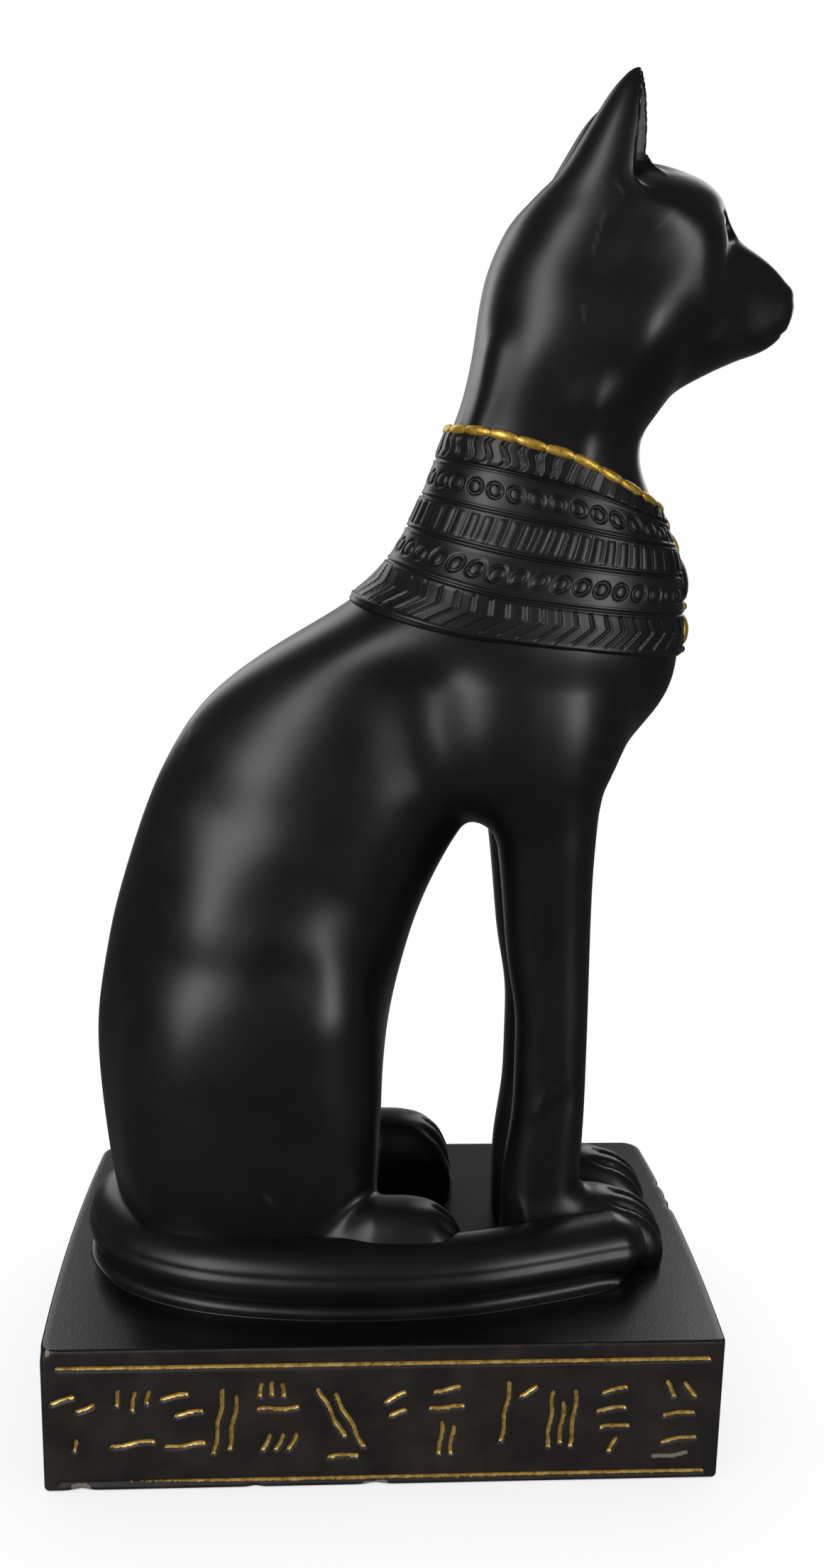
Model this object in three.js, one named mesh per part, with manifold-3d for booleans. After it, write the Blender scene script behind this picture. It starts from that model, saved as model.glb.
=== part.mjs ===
// Seated cat on an oblong plinth, cast in one piece and painted satin black with gold details.
// Millimetres, +Z up. The cat looks along +X. The origin is the middle of the plinth's underside.

import * as THREE from 'three';
import { mergeVertices } from 'three/addons/utils/BufferGeometryUtils.js';
import Module from 'manifold-3d';

const wasm = await Module();
wasm.setup();

// Driving dimensions of the plinth
const plinthLength = 104.4;
const plinthWidth = 68;
const plinthHeight = 24;
const plinthRightCornerRadius = 1;
const plinthLeftCornerRadius = 3.5;
const plinthEdgeRadius = 0.5;
const plinthEndBow = 1;

// Driving dimensions of the cat
const catHeight = 186;
const tailWidth = 11;
const tailHeight = 10.5;
const tailGrooveDepth = 0.5;
const earHollowDepth = 5;
const pawGrooveDepth = 1.1;
const pawGrooveWidth = 1.2;

// Driving dimensions of the collar
const collarThickness = 0.8;
const rimBeadLength = 4.4;
const rimBeadWidth = 2.2;
const rimBeadRise = 0.9;
const borderWidth = 0.8;
const borderRise = 0.35;
const reliefDepth = 0.45;
const ringDiameter = 2.5;
const ringPitch = 3.2;
const barPitch = 1.9;
const chevronPitch = 2.4;
const slantPitch = 2.7;
const chevronBend = 0.6;
const slantLean = 0.8;
const pendantWidth = 5;
const pendantRise = 1.1;

// Driving dimensions of the marks on the plinth
const markDepth = 0.5;
const markWidth = 0.9;
const ruleFromTop = 3.1;
const ruleFromBottom = 1.3;

// The cat is drawn on a grid with this many steps in its height, and every place on it is in steps
const gridSteps = 186;
const scale = catHeight / gridSteps;
const sink = 1.5;

// A place on the cat: forward, to its left, and up from the top of the plinth
function onCat(forward, side, up) {
  return new THREE.Vector3(forward * scale, side * scale, plinthHeight + up * scale);
}

// A cubic through [position, value] pairs that keeps between neighbouring values
function through(pairs) {
  const last = pairs.length - 1;
  const slopes = pairs.slice(1).map((pair, i) => (pair[1] - pairs[i][1]) / (pair[0] - pairs[i][0]));
  const tangents = pairs.map((pair, i) => {
    if (i === 0 || i === last) {
      return slopes[Math.min(i, last - 1)];
    }
    const product = slopes[i - 1] * slopes[i];
    return product > 0 ? (2 * product) / (slopes[i - 1] + slopes[i]) : 0;
  });
  return (position) => {
    const place = THREE.MathUtils.clamp(position, pairs[0][0], pairs[last][0]);
    const after = pairs.findIndex((pair, i) => i > 0 && place <= pair[0]);
    const [start, from] = pairs[after - 1];
    const [end, to] = pairs[after];
    const span = end - start;
    const t = (place - start) / span;
    const rise = t * t * (3 - 2 * t);
    const leave = t * (1 - t) * (1 - t) * span * tangents[after - 1];
    const arrive = t * t * (t - 1) * span * tangents[after];
    return from + (to - from) * rise + leave + arrive;
  };
}

// One curve for each column of a table whose first column is the position
function columns(table) {
  return table[0].slice(1).map((_, column) => through(table.map((row) => [row[0], row[column + 1]])));
}

function evenly(count, from, to) {
  return Array.from({ length: count }, (_, i) => from + ((to - from) * i) / (count - 1));
}

// Cosine and sine raised to the corner power of a superellipse: 2 is an ellipse, more is squarer
function squarer(value, power) {
  return Math.sign(value) * Math.abs(value) ** (2 / power);
}

// A closed skin over rings that have equally many points, with a fan over each end
function skin(rings) {
  const count = rings[0].length;
  const points = rings.flat();
  const ends = [rings[0], rings[rings.length - 1]].map((ring) => {
    const middle = new THREE.Vector3();
    ring.forEach((point) => middle.addScaledVector(point, 1 / count));
    return middle;
  });
  const positions = [...points, ...ends].flatMap((point) => point.toArray());
  const faces = [];
  for (let row = 0; row < rings.length - 1; row += 1) {
    for (let i = 0; i < count; i += 1) {
      const a = row * count + i;
      const b = row * count + ((i + 1) % count);
      faces.push(a, b, a + count, b, b + count, a + count);
    }
  }
  const top = (rings.length - 1) * count;
  for (let i = 0; i < count; i += 1) {
    const next = (i + 1) % count;
    faces.push(points.length, next, i);
    faces.push(points.length + 1, top + i, top + next);
  }
  const geometry = new THREE.BufferGeometry();
  geometry.setAttribute('position', new THREE.Float32BufferAttribute(positions, 3));
  geometry.setIndex(faces);
  return geometry;
}

function solid(geometry) {
  const bare = geometry.clone();
  bare.deleteAttribute('normal');
  bare.deleteAttribute('uv');
  const merged = mergeVertices(bare, 1e-4);
  return new wasm.Manifold(new wasm.Mesh({
    numProp: 3,
    vertProperties: new Float32Array(merged.attributes.position.array),
    triVerts: new Uint32Array(merged.index.array),
  }));
}

function unite(shapes) {
  return shapes.reduce((whole, shape) => whole.add(shape));
}

function mirrored(geometry) {
  const copy = geometry.clone();
  copy.scale(1, -1, 1);
  const faces = Array.from(copy.index.array);
  for (let i = 0; i < faces.length; i += 3) {
    [faces[i + 1], faces[i + 2]] = [faces[i + 2], faces[i + 1]];
  }
  copy.setIndex(faces);
  return copy;
}

function bothSides(geometry) {
  return unite([solid(geometry), solid(mirrored(geometry))]);
}

// Level rings stacked upwards: each row gives back, front, inner side, outer side at a height
function stack(table, rows, sides, power) {
  const [back, front, inner, outer] = columns(table);
  return skin(rows.map((up) => evenly(sides + 1, 0, 2 * Math.PI).slice(0, sides).map((turn) => {
    const forward = (back(up) + front(up)) / 2;
    const side = (inner(up) + outer(up)) / 2;
    const length = (front(up) - back(up)) / 2;
    const width = (outer(up) - inner(up)) / 2;
    return onCat(
      forward + length * squarer(Math.cos(turn), power),
      side + width * squarer(Math.sin(turn), power),
      up,
    );
  })));
}

// Upright rings strung forwards: each row gives bottom, top, half width and the side it lies on
function string(table, rows, sides, power) {
  const [bottom, top, half, side] = columns(table);
  return skin(rows.map((forward) => evenly(sides + 1, 0, 2 * Math.PI).slice(0, sides).map((turn) => {
    const middle = (bottom(forward) + top(forward)) / 2;
    const rise = (top(forward) - bottom(forward)) / 2;
    return onCat(
      forward,
      side(forward) + half(forward) * squarer(Math.cos(turn), power),
      middle + rise * squarer(Math.sin(turn), power),
    );
  })));
}

// A humped section that stands on the plinth: out to the side and up, with upright foot edges
function arch(half, top, sides) {
  const spring = top * 0.4;
  const hump = evenly(sides, 0, Math.PI).map((turn) => [
    half * squarer(Math.cos(turn), 2.3),
    spring + (top - spring) * squarer(Math.sin(turn), 2.3),
  ]);
  return [[half, -sink], ...hump, [-half, -sink]];
}

// Rump, back, neck and skull: height, back, widest place, front, half width
const trunkTable = [
  [-sink, -41.7, -21, -2.6, 16],
  [16, -45.6, -21, -1, 17.8],
  [38, -47.3, -21, 0.5, 18.6],
  [55, -45, -20, 4, 18],
  [69, -41.2, -16, 9.6, 17.2],
  [80, -37.3, -8, 20, 16.6],
  [86, -34.3, -2, 36, 16.8],
  [90, -31.9, 3, 40.8, 17],
  [94, -28.8, 6, 44, 17],
  [99, -22.8, 10, 46, 17],
  [104, -15.2, 14, 46.2, 16.6],
  [109, -6.7, 18, 46, 15.9],
  [115, -0.2, 21, 44.9, 14.9],
  [124, 4.7, 24, 41.2, 13],
  [133, 8, 25, 38, 12.1],
  [140, 10.7, 27, 39.6, 13.2],
  [147, 12.2, 29, 42, 15],
  [157, 13.5, 31, 47.2, 15.9],
  [165, 16.4, 32, 49.6, 14.8],
  [169, 19.6, 33, 49.4, 12.8],
  [172, 23.7, 34, 47, 10],
  [174, 28.2, 35, 42.4, 6],
  [175.2, 33, 35.5, 38, 2],
];
const trunk = columns(trunkTable);

// A point of the trunk's skin, turned from its back, set out from it by a distance
function onTrunk(turn, up, out = 0) {
  const [back, widest, front, half] = trunk.map((curve) => curve(up));
  const ahead = Math.cos(turn) < 0;
  const reach = (ahead ? front - widest : widest - back) + out / scale;
  return onCat(
    widest - reach * squarer(Math.cos(turn), 2.15),
    -(half + out / scale) * squarer(Math.sin(turn), 2.15),
    up,
  );
}

function makeTrunk() {
  const sides = 20;
  const rows = [
    -sink, 12, 26, 40, 53, 65, 75, 81, 86, 90, 95, 101, 108, 120, 133,
    140, 147, 154, 160, 165, 169, 172, 174, 175.2,
  ];
  const turns = evenly(sides + 1, 0, 2 * Math.PI).slice(0, sides);
  return solid(skin(rows.map((up) => turns.map((turn) => onTrunk(turn, up)))));
}

function makeHaunches() {
  const table = [
    [-sink, -35, -3.5, 3, 17],
    [10, -38.5, -2, 3, 19.2],
    [25, -40.5, -1.6, 3, 21.2],
    [38, -39.5, -2, 3, 21.6],
    [50, -36.5, -3.6, 3, 20.5],
    [60, -32.5, -6.5, 4, 18.5],
    [68, -28, -11, 5, 16],
  ];
  return bothSides(stack(table, [-sink, 13, 27, 39, 50, 60, 68], 12, 2.2));
}

function makeFrontLegs() {
  const table = [
    [-sink, 20, 33, 2.3, 12.6],
    [12, 20, 33, 2.3, 12.4],
    [28, 21.5, 33.3, 2.4, 12.2],
    [41, 21.5, 33.2, 2.2, 12.4],
    [53, 19.6, 33, 1.8, 13],
    [66, 17, 32.8, 1.2, 14.4],
    [74, 13.6, 33, 0.6, 15.6],
    [82, 9.5, 33.6, 0, 16.2],
    [90, 6, 34.6, -1, 16.2],
    [98, 8, 34, -2, 14.8],
    [106, 13, 30, -2, 12],
  ];
  return bothSides(stack(table, [-sink, 12, 26, 40, 53, 65, 75, 84, 92, 99, 106], 10, 2.3));
}

// A long tapered groove, as the shape that is cut away: its middle, length, width, depth and slope
function groove(middle, length, width, depth, slope) {
  const blade = new THREE.OctahedronGeometry(1);
  blade.scale((length * scale) / 2, width / 2, depth);
  blade.rotateY(THREE.MathUtils.degToRad(slope));
  blade.translate(...onCat(...middle).toArray());
  return solid(blade);
}

// A pair of paws: each row of the table gives forward, top and half width
function makePaws(table, side, toes) {
  const [top, half] = columns(table);
  const rings = table.map(([forward]) => {
    const section = arch(half(forward), top(forward), 8);
    return section.map(([out, up]) => onCat(forward, side + out, up));
  });
  const grooves = [-1, 0, 1].map((place) => {
    const middle = [toes.forward, side + place * toes.pitch, toes.up];
    return groove(middle, toes.length, pawGrooveWidth, pawGrooveDepth, toes.slope);
  });
  const paw = solid(skin(rings)).subtract(unite(grooves));
  return unite([paw, paw.mirror([0, 1, 0])]);
}

function makeFrontPaws() {
  const table = [
    [24, 12, 5.6], [35, 12.2, 6], [41, 10.9, 6.4], [44.6, 8.7, 6], [46.8, 5.6, 4.7], [47.7, 2.4, 3],
  ];
  return makePaws(table, 7.4, { forward: 45.2, up: 7, length: 11, pitch: 3, slope: 48 });
}

function makeHindPaws() {
  const table = [
    [-12, 13.4, 6], [1, 15.2, 6.6], [7, 14.2, 6.6], [10.6, 11.8, 6.3], [12.9, 7.6, 5.2], [13.8, 2.8, 3.4],
  ];
  return makePaws(table, 16.6, { forward: 11.6, up: 8.9, length: 11, pitch: 3.1, slope: 48 });
}

// The tail leaves the rump behind and lies on the plinth round the cat's right side
function makeTail() {
  const route = new THREE.CatmullRomCurve3([
    [-37, 7], [-42.5, 2.5], [-43, -5], [-38.5, -12.8], [-29, -18.3], [-15, -21.2],
    [0, -21.8], [13, -20.6], [25, -17.6], [36, -14.2], [43.2, -12.6],
  ].map(([forward, side]) => onCat(forward, side, 0)));
  const steps = 22;
  const roundEnd = 0.045;
  const rings = evenly(steps + 1, 0, 1).map((share) => {
    const centre = route.getPointAt(share);
    const along = route.getTangentAt(share);
    const across = new THREE.Vector3(along.y, -along.x, 0);
    const past = Math.max(0, (share - 1 + roundEnd) / roundEnd);
    const taper = Math.sqrt(1 - (0.96 * past) ** 2);
    const swell = 1 + 0.14 * Math.max(0, 1 - share * 4);
    const section = arch((tailWidth / 2) * swell * taper, tailHeight * swell * (0.4 + 0.6 * taper), 8);
    section[2][0] -= tailGrooveDepth * taper;
    return section.map(([out, up]) => centre.clone().addScaledVector(across, out).setZ(plinthHeight + up));
  });
  return solid(skin(rings.reverse()));
}

// Muzzle, jaw and the bridge of the nose
function makeMuzzle() {
  const table = [
    [33, 136.5, 165, 12.4, 0],
    [39, 138.6, 168, 12.4, 0],
    [43, 142, 168.6, 11.6, 0],
    [48.6, 145.2, 167.2, 9.2, 0],
    [52.5, 147, 164.6, 7.5, 0],
    [57.2, 148.9, 161.6, 6.4, 0],
    [60, 151.4, 158.8, 4.6, 0],
    [61.3, 154.2, 156.6, 1.6, 0],
  ];
  return solid(string(table, [33, 39, 43, 48, 52.5, 56, 58.8, 60.4, 61.3], 12, 2.1));
}

function ellipsoid(centre, radii, sides, rows) {
  const ball = new THREE.SphereGeometry(1, sides, rows);
  ball.rotateX(Math.PI / 2);
  ball.scale(...radii.map((radius) => radius * scale));
  const place = onCat(...centre);
  ball.translate(place.x, place.y, place.z);
  return solid(ball);
}

function makeEyes() {
  const eye = ellipsoid([46, 7.6, 166.2], [2.4, 3.4, 1.7], 8, 4);
  return unite([eye, eye.mirror([0, 1, 0])]);
}

// An ear is a tall bent cone with a hollow in its front
function makeEars() {
  const table = [
    [158, 14.5, 35.4, 2.8, 15.2],
    [166, 17.4, 36.6, 3.2, 15.4],
    [172, 23, 36.8, 4.4, 14.8],
    [178, 27, 36.4, 6, 13.6],
    [183, 30.4, 35.8, 7.9, 12.1],
    [186, 33.2, 34.8, 9.5, 10.5],
  ];
  const rows = [158, 164, 169, 174, 179, 183, 186];
  const outer = stack(table, rows, 10, 2);
  const hollowTable = table.slice(1).map(([up, , front, inner, outward]) => {
    const share = (outward - inner) / 12;
    const middle = (outward + inner) / 2;
    const half = (outward - inner) * 0.36;
    return [up, front - earHollowDepth * share, front + 5 * share, middle - half, middle + half];
  });
  const hollow = stack(hollowTable, [166, 174, 181, 185.3], 8, 2);
  const turned = [outer, hollow].map((geometry) => {
    const axis = onCat(30, 9.6, 0);
    const copy = geometry.clone();
    copy.translate(-axis.x, -axis.y, 0);
    copy.rotateZ(THREE.MathUtils.degToRad(10));
    copy.translate(axis.x, axis.y, 0);
    return solid(copy);
  });
  const ear = turned[0].subtract(turned[1]);
  return unite([ear, ear.mirror([0, 1, 0])]);
}

// The collar's lines: height at the nape, at the side and at the breast
const collarLines = {
  rim: [136, 133, 124.5],
  first: [131.3, 128.3, 121.8],
  second: [125.8, 122.2, 118.4],
  third: [120.8, 117, 114.2],
  fourth: [115.6, 111.3, 108.4],
  hem: [109.8, 105.5, 102],
};

// The height of a collar line at a turn from the nape, as two cosine waves through its three heights
function lineHeight([nape, side, breast], turn) {
  const mean = (nape + breast) / 2;
  const level = (mean + side) / 2;
  return level + ((nape - breast) / 2) * Math.cos(turn) + (mean - level) * Math.cos(2 * turn);
}

function between(upper, lower, share) {
  return upper.map((height, i) => height + (lower[i] - height) * share);
}

function onCollar(turn, line, out) {
  return onTrunk(turn, lineHeight(line, turn), out);
}

// The distance gone round a collar line at each of many even turns
const paceCount = 180;
function paces(line) {
  const points = evenly(paceCount + 1, 0, 2 * Math.PI).map((turn) => onCollar(turn, line, collarThickness));
  let gone = 0;
  return points.map((point, i) => {
    gone += i > 0 ? point.distanceTo(points[i - 1]) : 0;
    return gone;
  });
}

// Turns that lie evenly spaced round a collar line, measured along it
function pacedTurns(line, count) {
  const gone = paces(line);
  return Array.from({ length: count }, (_, i) => {
    const wanted = (gone[paceCount] * i) / count;
    const after = gone.findIndex((distance) => distance > wanted);
    const share = (wanted - gone[after - 1]) / (gone[after] - gone[after - 1]);
    return ((after - 1 + share) * 2 * Math.PI) / paceCount;
  });
}

// How many copies of a pattern go round the collar at a line, at a pitch
function copiesAt(line, pitch) {
  return Math.round(paces(line)[paceCount] / pitch);
}

// A row of the collar's skin: points at paced turns, every other one lowered, and shifted forward
function collarRow(line, count, lowered = 0, shift = 0) {
  const length = paces(line)[paceCount];
  return pacedTurns(line, count).map((turn, i) => {
    const side = THREE.MathUtils.clamp(4 * Math.sin(turn), -1, 1);
    const moved = turn + (side * shift * 2 * Math.PI) / length;
    const out = collarThickness - (i % 2 === 1 ? lowered : 0);
    return { turn: moved, point: onCollar(moved, line, out) };
  });
}

// Triangles between two rows of unlike counts, stepping along whichever row lags behind
function zip(lower, upper, lowerStart, upperStart) {
  const faces = [];
  const turnAt = (row, i) => row[i % row.length].turn + (i >= row.length ? 2 * Math.PI : 0);
  let i = 0;
  let j = 0;
  while (i < lower.length || j < upper.length) {
    const a = lowerStart + (i % lower.length);
    const b = upperStart + (j % upper.length);
    const lowerLags = i < lower.length && turnAt(lower, i + 1) <= turnAt(upper, j + 1);
    if (j === upper.length || lowerLags) {
      faces.push(a, lowerStart + ((i + 1) % lower.length), b);
      i += 1;
    } else {
      faces.push(a, upperStart + ((j + 1) % upper.length), b);
      j += 1;
    }
  }
  return faces;
}

// A closed skin over rows of unlike counts, with a fan over each end
function zippedSkin(rows) {
  const starts = [];
  const points = [];
  rows.forEach((row) => {
    starts.push(points.length);
    points.push(...row.map(({ point }) => point));
  });
  const faces = rows.slice(1).flatMap((row, i) => zip(rows[i], row, starts[i], starts[i + 1]));
  [0, rows.length - 1].forEach((end) => {
    const row = rows[end];
    const middle = new THREE.Vector3();
    row.forEach(({ point }) => middle.addScaledVector(point, 1 / row.length));
    row.forEach((_, i) => {
      const here = starts[end] + i;
      const next = starts[end] + ((i + 1) % row.length);
      faces.push(points.length, ...(end === 0 ? [next, here] : [here, next]));
    });
    points.push(middle);
  });
  const geometry = new THREE.BufferGeometry();
  geometry.setAttribute('position', new THREE.Float32BufferAttribute(points.flatMap((p) => p.toArray()), 3));
  geometry.setIndex(faces);
  return geometry;
}

function raised(line, rise) {
  return line.map((height) => height + rise);
}

// The raised line along a border of two bands
function ridgeRows(line, sides) {
  return [
    collarRow(raised(line, -borderWidth / 2), sides),
    collarRow(line, sides).map(({ turn }) => (
      { turn, point: onCollar(turn, line, collarThickness + borderRise) }
    )),
    collarRow(raised(line, borderWidth / 2), sides),
  ];
}

// Reeds between two lines: upright bars, or bent or leaning ones where a row is shifted
function reedRows(upper, lower, pitch, shifts) {
  const count = 2 * copiesAt(between(upper, lower, 0.5), pitch);
  const first = 0.14;
  const span = 1 - 2 * first;
  return shifts.map((shift, i) => {
    const share = 1 - first - (span * i) / (shifts.length - 1);
    return collarRow(between(upper, lower, share), count, reliefDepth, shift);
  });
}

// A row of studs between two lines: every other point of the middle row stands proud
function studRows(upper, lower) {
  const count = 2 * copiesAt(between(upper, lower, 0.5), ringPitch);
  const half = ringDiameter / 2;
  const middle = between(upper, lower, 0.5);
  const crown = collarRow(middle, count, -reliefDepth);
  return [collarRow(raised(middle, -half), count), crown, collarRow(raised(middle, half), count)];
}

// The collar from hem to rim: chevrons, rings, bars, rings and leaning strokes between raised lines
function makeCollar() {
  const sides = 28;
  const { hem, fourth, third, second, first, rim } = collarLines;
  const inside = (line) => evenly(sides + 1, 0, 2 * Math.PI).slice(0, sides).map((turn) => (
    { turn, point: onCollar(turn, line, -1) }
  ));
  return solid(zippedSkin([
    inside(hem),
    ...ridgeRows(hem, sides),
    ...reedRows(fourth, hem, chevronPitch, [-chevronBend, chevronBend, -chevronBend]),
    ...ridgeRows(fourth, sides),
    ...studRows(third, fourth),
    ...ridgeRows(third, sides),
    ...reedRows(second, third, barPitch, [0, 0]),
    ...ridgeRows(second, sides),
    ...studRows(first, second),
    ...ridgeRows(first, sides),
    ...reedRows(rim, first, slantPitch, [-slantLean, slantLean]),
    collarRow(rim, sides),
    inside(rim),
  ]));
}

// The frame of the collar's skin at a turn and line: along the line, up it, and outward
function collarFrame(turn, line, out) {
  const step = 0.02;
  const place = onCollar(turn, line, out);
  const along = onCollar(turn + step, line, out).sub(onCollar(turn - step, line, out)).normalize();
  const upward = onCollar(turn, raised(line, 0.5), out).sub(place).normalize();
  const outward = new THREE.Vector3().crossVectors(along, upward).normalize();
  upward.crossVectors(outward, along).normalize();
  return new THREE.Matrix4().makeBasis(along, upward, outward).setPosition(place);
}

// Long beads end to end round the rim
function makeRimBeads() {
  const line = collarLines.rim;
  const count = copiesAt(line, rimBeadLength);
  return unite(pacedTurns(line, count).map((turn) => {
    const bead = new THREE.OctahedronGeometry(1);
    bead.scale(rimBeadLength / 2, rimBeadWidth / 2, rimBeadRise);
    bead.applyMatrix4(collarFrame(turn, line, collarThickness));
    return solid(bead);
  }));
}

// A drop hung from the middle of the rim, over the bands on the breast
function makePendant() {
  const rings = evenly(9, 0, 1).map((share) => {
    const line = between(collarLines.rim, collarLines.hem, 0.08 + 0.96 * share);
    const frame = collarFrame(Math.PI, line, collarThickness);
    const half = (pendantWidth / 2) * (0.45 + 0.55 * Math.sin(Math.PI * Math.min(1, 0.12 + share)) ** 2);
    return evenly(9, 0, 2 * Math.PI).slice(0, 8).map((angle) => {
      const point = new THREE.Vector3(half * Math.cos(angle), 0, pendantRise * Math.sin(angle));
      return point.applyMatrix4(frame);
    });
  });
  return solid(skin(rings));
}

// A quarter of the plinth's outline: half of a bowed end, then a rounded corner
function plinthQuarter(radius, inset) {
  const halfLength = plinthLength / 2 - inset;
  const straight = plinthWidth / 2 - inset - radius;
  const end = [0, 0.35, 0.7].map((share) => [
    halfLength + plinthEndBow * (1 - share * share),
    share * straight,
  ]);
  const corner = evenly(4, 0, Math.PI / 2).map((turn) => [
    halfLength - radius + radius * Math.cos(turn),
    straight + radius * Math.sin(turn),
  ]);
  return [...end, ...corner];
}

// The whole outline from above, with crisp corners on the cat's right side and rounder ones on its left
function plinthOutline(inset, up) {
  const quarter = (forward, side, radius) => (
    plinthQuarter(radius - inset, inset).map(([x, y]) => new THREE.Vector3(forward * x, side * y, up))
  );
  return [
    ...quarter(1, 1, plinthLeftCornerRadius),
    ...quarter(-1, 1, plinthLeftCornerRadius).slice(1).reverse(),
    ...quarter(-1, -1, plinthRightCornerRadius),
    ...quarter(1, -1, plinthRightCornerRadius).slice(1).reverse(),
  ];
}

function makePlinth() {
  return solid(skin([
    plinthOutline(plinthEdgeRadius, 0),
    plinthOutline(0, plinthEdgeRadius),
    plinthOutline(0, plinthHeight - plinthEdgeRadius),
    plinthOutline(plinthEdgeRadius, plinthHeight),
  ]));
}

const ruleTop = plinthHeight - ruleFromTop;
const ruleBottom = ruleFromBottom;
const bandHeight = ruleTop - ruleBottom;

function faceFrame(quarterTurns) {
  const reach = quarterTurns % 2 === 0 ? plinthWidth / 2 : plinthLength / 2 + plinthEndBow;
  const frame = new THREE.Matrix4().makeRotationZ((quarterTurns * Math.PI) / 2);
  return frame.multiply(new THREE.Matrix4().makeTranslation(0, -reach, 0));
}

// A groove on an upright face: how far across and up its middle is, its length and its lean in degrees
function mark(frame, across, up, length, lean) {
  const groove = new THREE.BoxGeometry(markWidth, 2 * markDepth, length);
  groove.rotateY(THREE.MathUtils.degToRad(lean));
  groove.translate(across, 0, up);
  groove.applyMatrix4(frame);
  return solid(groove);
}

// Plain strokes along the front that touch no other stroke: [across, up, length, lean]. Across is a
// share of the plinth's length, and up and length are shares of the band between the two rules.
const frontStrokes = [
  [-0.469, 0.73, 0.22, 75], [-0.437, 0.66, 0.18, 65], [-0.452, 0.33, 0.13, 20],
  [-0.39, 0.74, 0.16, 10], [-0.367, 0.71, 0.19, 10], [-0.346, 0.74, 0.14, 10], [-0.37, 0.34, 0.36, 82],
  [-0.308, 0.75, 0.24, 80], [-0.287, 0.6, 0.24, 80], [-0.293, 0.32, 0.33, 84],
  [-0.244, 0.52, 0.59, 8], [-0.223, 0.51, 0.49, 8],
  [-0.183, 0.79, 0.14, 0], [-0.167, 0.8, 0.14, 0], [-0.15, 0.79, 0.14, 0], [-0.158, 0.63, 0.34, 88],
  [-0.175, 0.33, 0.18, 24], [-0.156, 0.33, 0.18, 24], [-0.137, 0.33, 0.18, 24],
  [-0.08, 0.58, 0.5, -26], [-0.054, 0.51, 0.55, -26], [-0.063, 0.2, 0.26, 86],
  [0.012, 0.71, 0.21, 62], [0.017, 0.57, 0.16, 62],
  [0.089, 0.77, 0.23, 80], [0.089, 0.61, 0.29, 88], [0.081, 0.34, 0.31, 4], [0.098, 0.32, 0.27, 4],
  [0.176, 0.56, 0.55, 6], [0.21, 0.74, 0.18, 60],
  [0.243, 0.49, 0.52, 4], [0.261, 0.46, 0.39, 4], [0.278, 0.49, 0.52, 4],
  [0.338, 0.74, 0.22, 72], [0.334, 0.57, 0.25, 84], [0.34, 0.42, 0.25, 84], [0.338, 0.25, 0.16, 20],
  [0.421, 0.74, 0.18, -30], [0.45, 0.73, 0.18, -30], [0.436, 0.52, 0.27, 86], [0.438, 0.29, 0.3, 80],
];

function makeMarks() {
  const marks = [];
  for (let quarter = 0; quarter < 4; quarter += 1) {
    const face = faceFrame(quarter);
    const length = quarter % 2 === 0 ? plinthLength : plinthWidth;
    const rule = length - 2 * plinthLeftCornerRadius;
    marks.push(mark(face, 0, ruleTop, rule, 90), mark(face, 0, ruleBottom, rule, 90));
  }
  frontStrokes.forEach(([across, up, length, lean]) => {
    const middle = [across * plinthLength, ruleBottom + up * bandHeight];
    marks.push(mark(faceFrame(0), ...middle, length * bandHeight, lean));
  });
  return unite(marks);
}

function meshOf(shape, name, material) {
  const { vertProperties, triVerts, numProp } = shape.getMesh();
  const positions = [];
  for (let i = 0; i < vertProperties.length; i += numProp) {
    positions.push(vertProperties[i], vertProperties[i + 1], vertProperties[i + 2]);
  }
  const geometry = new THREE.BufferGeometry();
  geometry.setAttribute('position', new THREE.Float32BufferAttribute(positions, 3));
  geometry.setIndex(Array.from(triVerts));
  geometry.computeVertexNormals();
  const mesh = new THREE.Mesh(geometry, material);
  mesh.name = name;
  return mesh;
}

const blackPaint = new THREE.MeshStandardMaterial({ color: 0x111111, roughness: 0.4, metalness: 0 });

const cat = unite([
  makeTrunk(), makeHaunches(), makeFrontLegs(), makeFrontPaws(), makeHindPaws(), makeTail(),
  makeMuzzle(), makeEyes(), makeEars(),
]);
const collar = unite([makeCollar(), makeRimBeads(), makePendant()]);
const plinth = makePlinth().subtract(makeMarks());

const group = new THREE.Group();
group.add(meshOf(unite([plinth, cat, collar]), 'bastet_cat_figure', blackPaint));

export default group;
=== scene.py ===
# %% [markdown]
# # A seated cat, cast in resin and painted
# The real object is one casting of stone-filled resin: a slim seated cat with a broad collar, on an
# oblong plinth. Satin black paint covers all of it, and gold paint picks out the collar's rim, a
# pendant and the marks on the plinth. This lesson dresses the plain solid of that casting: the body
# as one smooth surface, the collar as a fine relief, then the finishes and the light.
#
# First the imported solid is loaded. It stays where it is and gives the size that everything keeps to.

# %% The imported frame
import itertools
import math

import bpy
import numpy as np
from mathutils import Matrix


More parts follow.
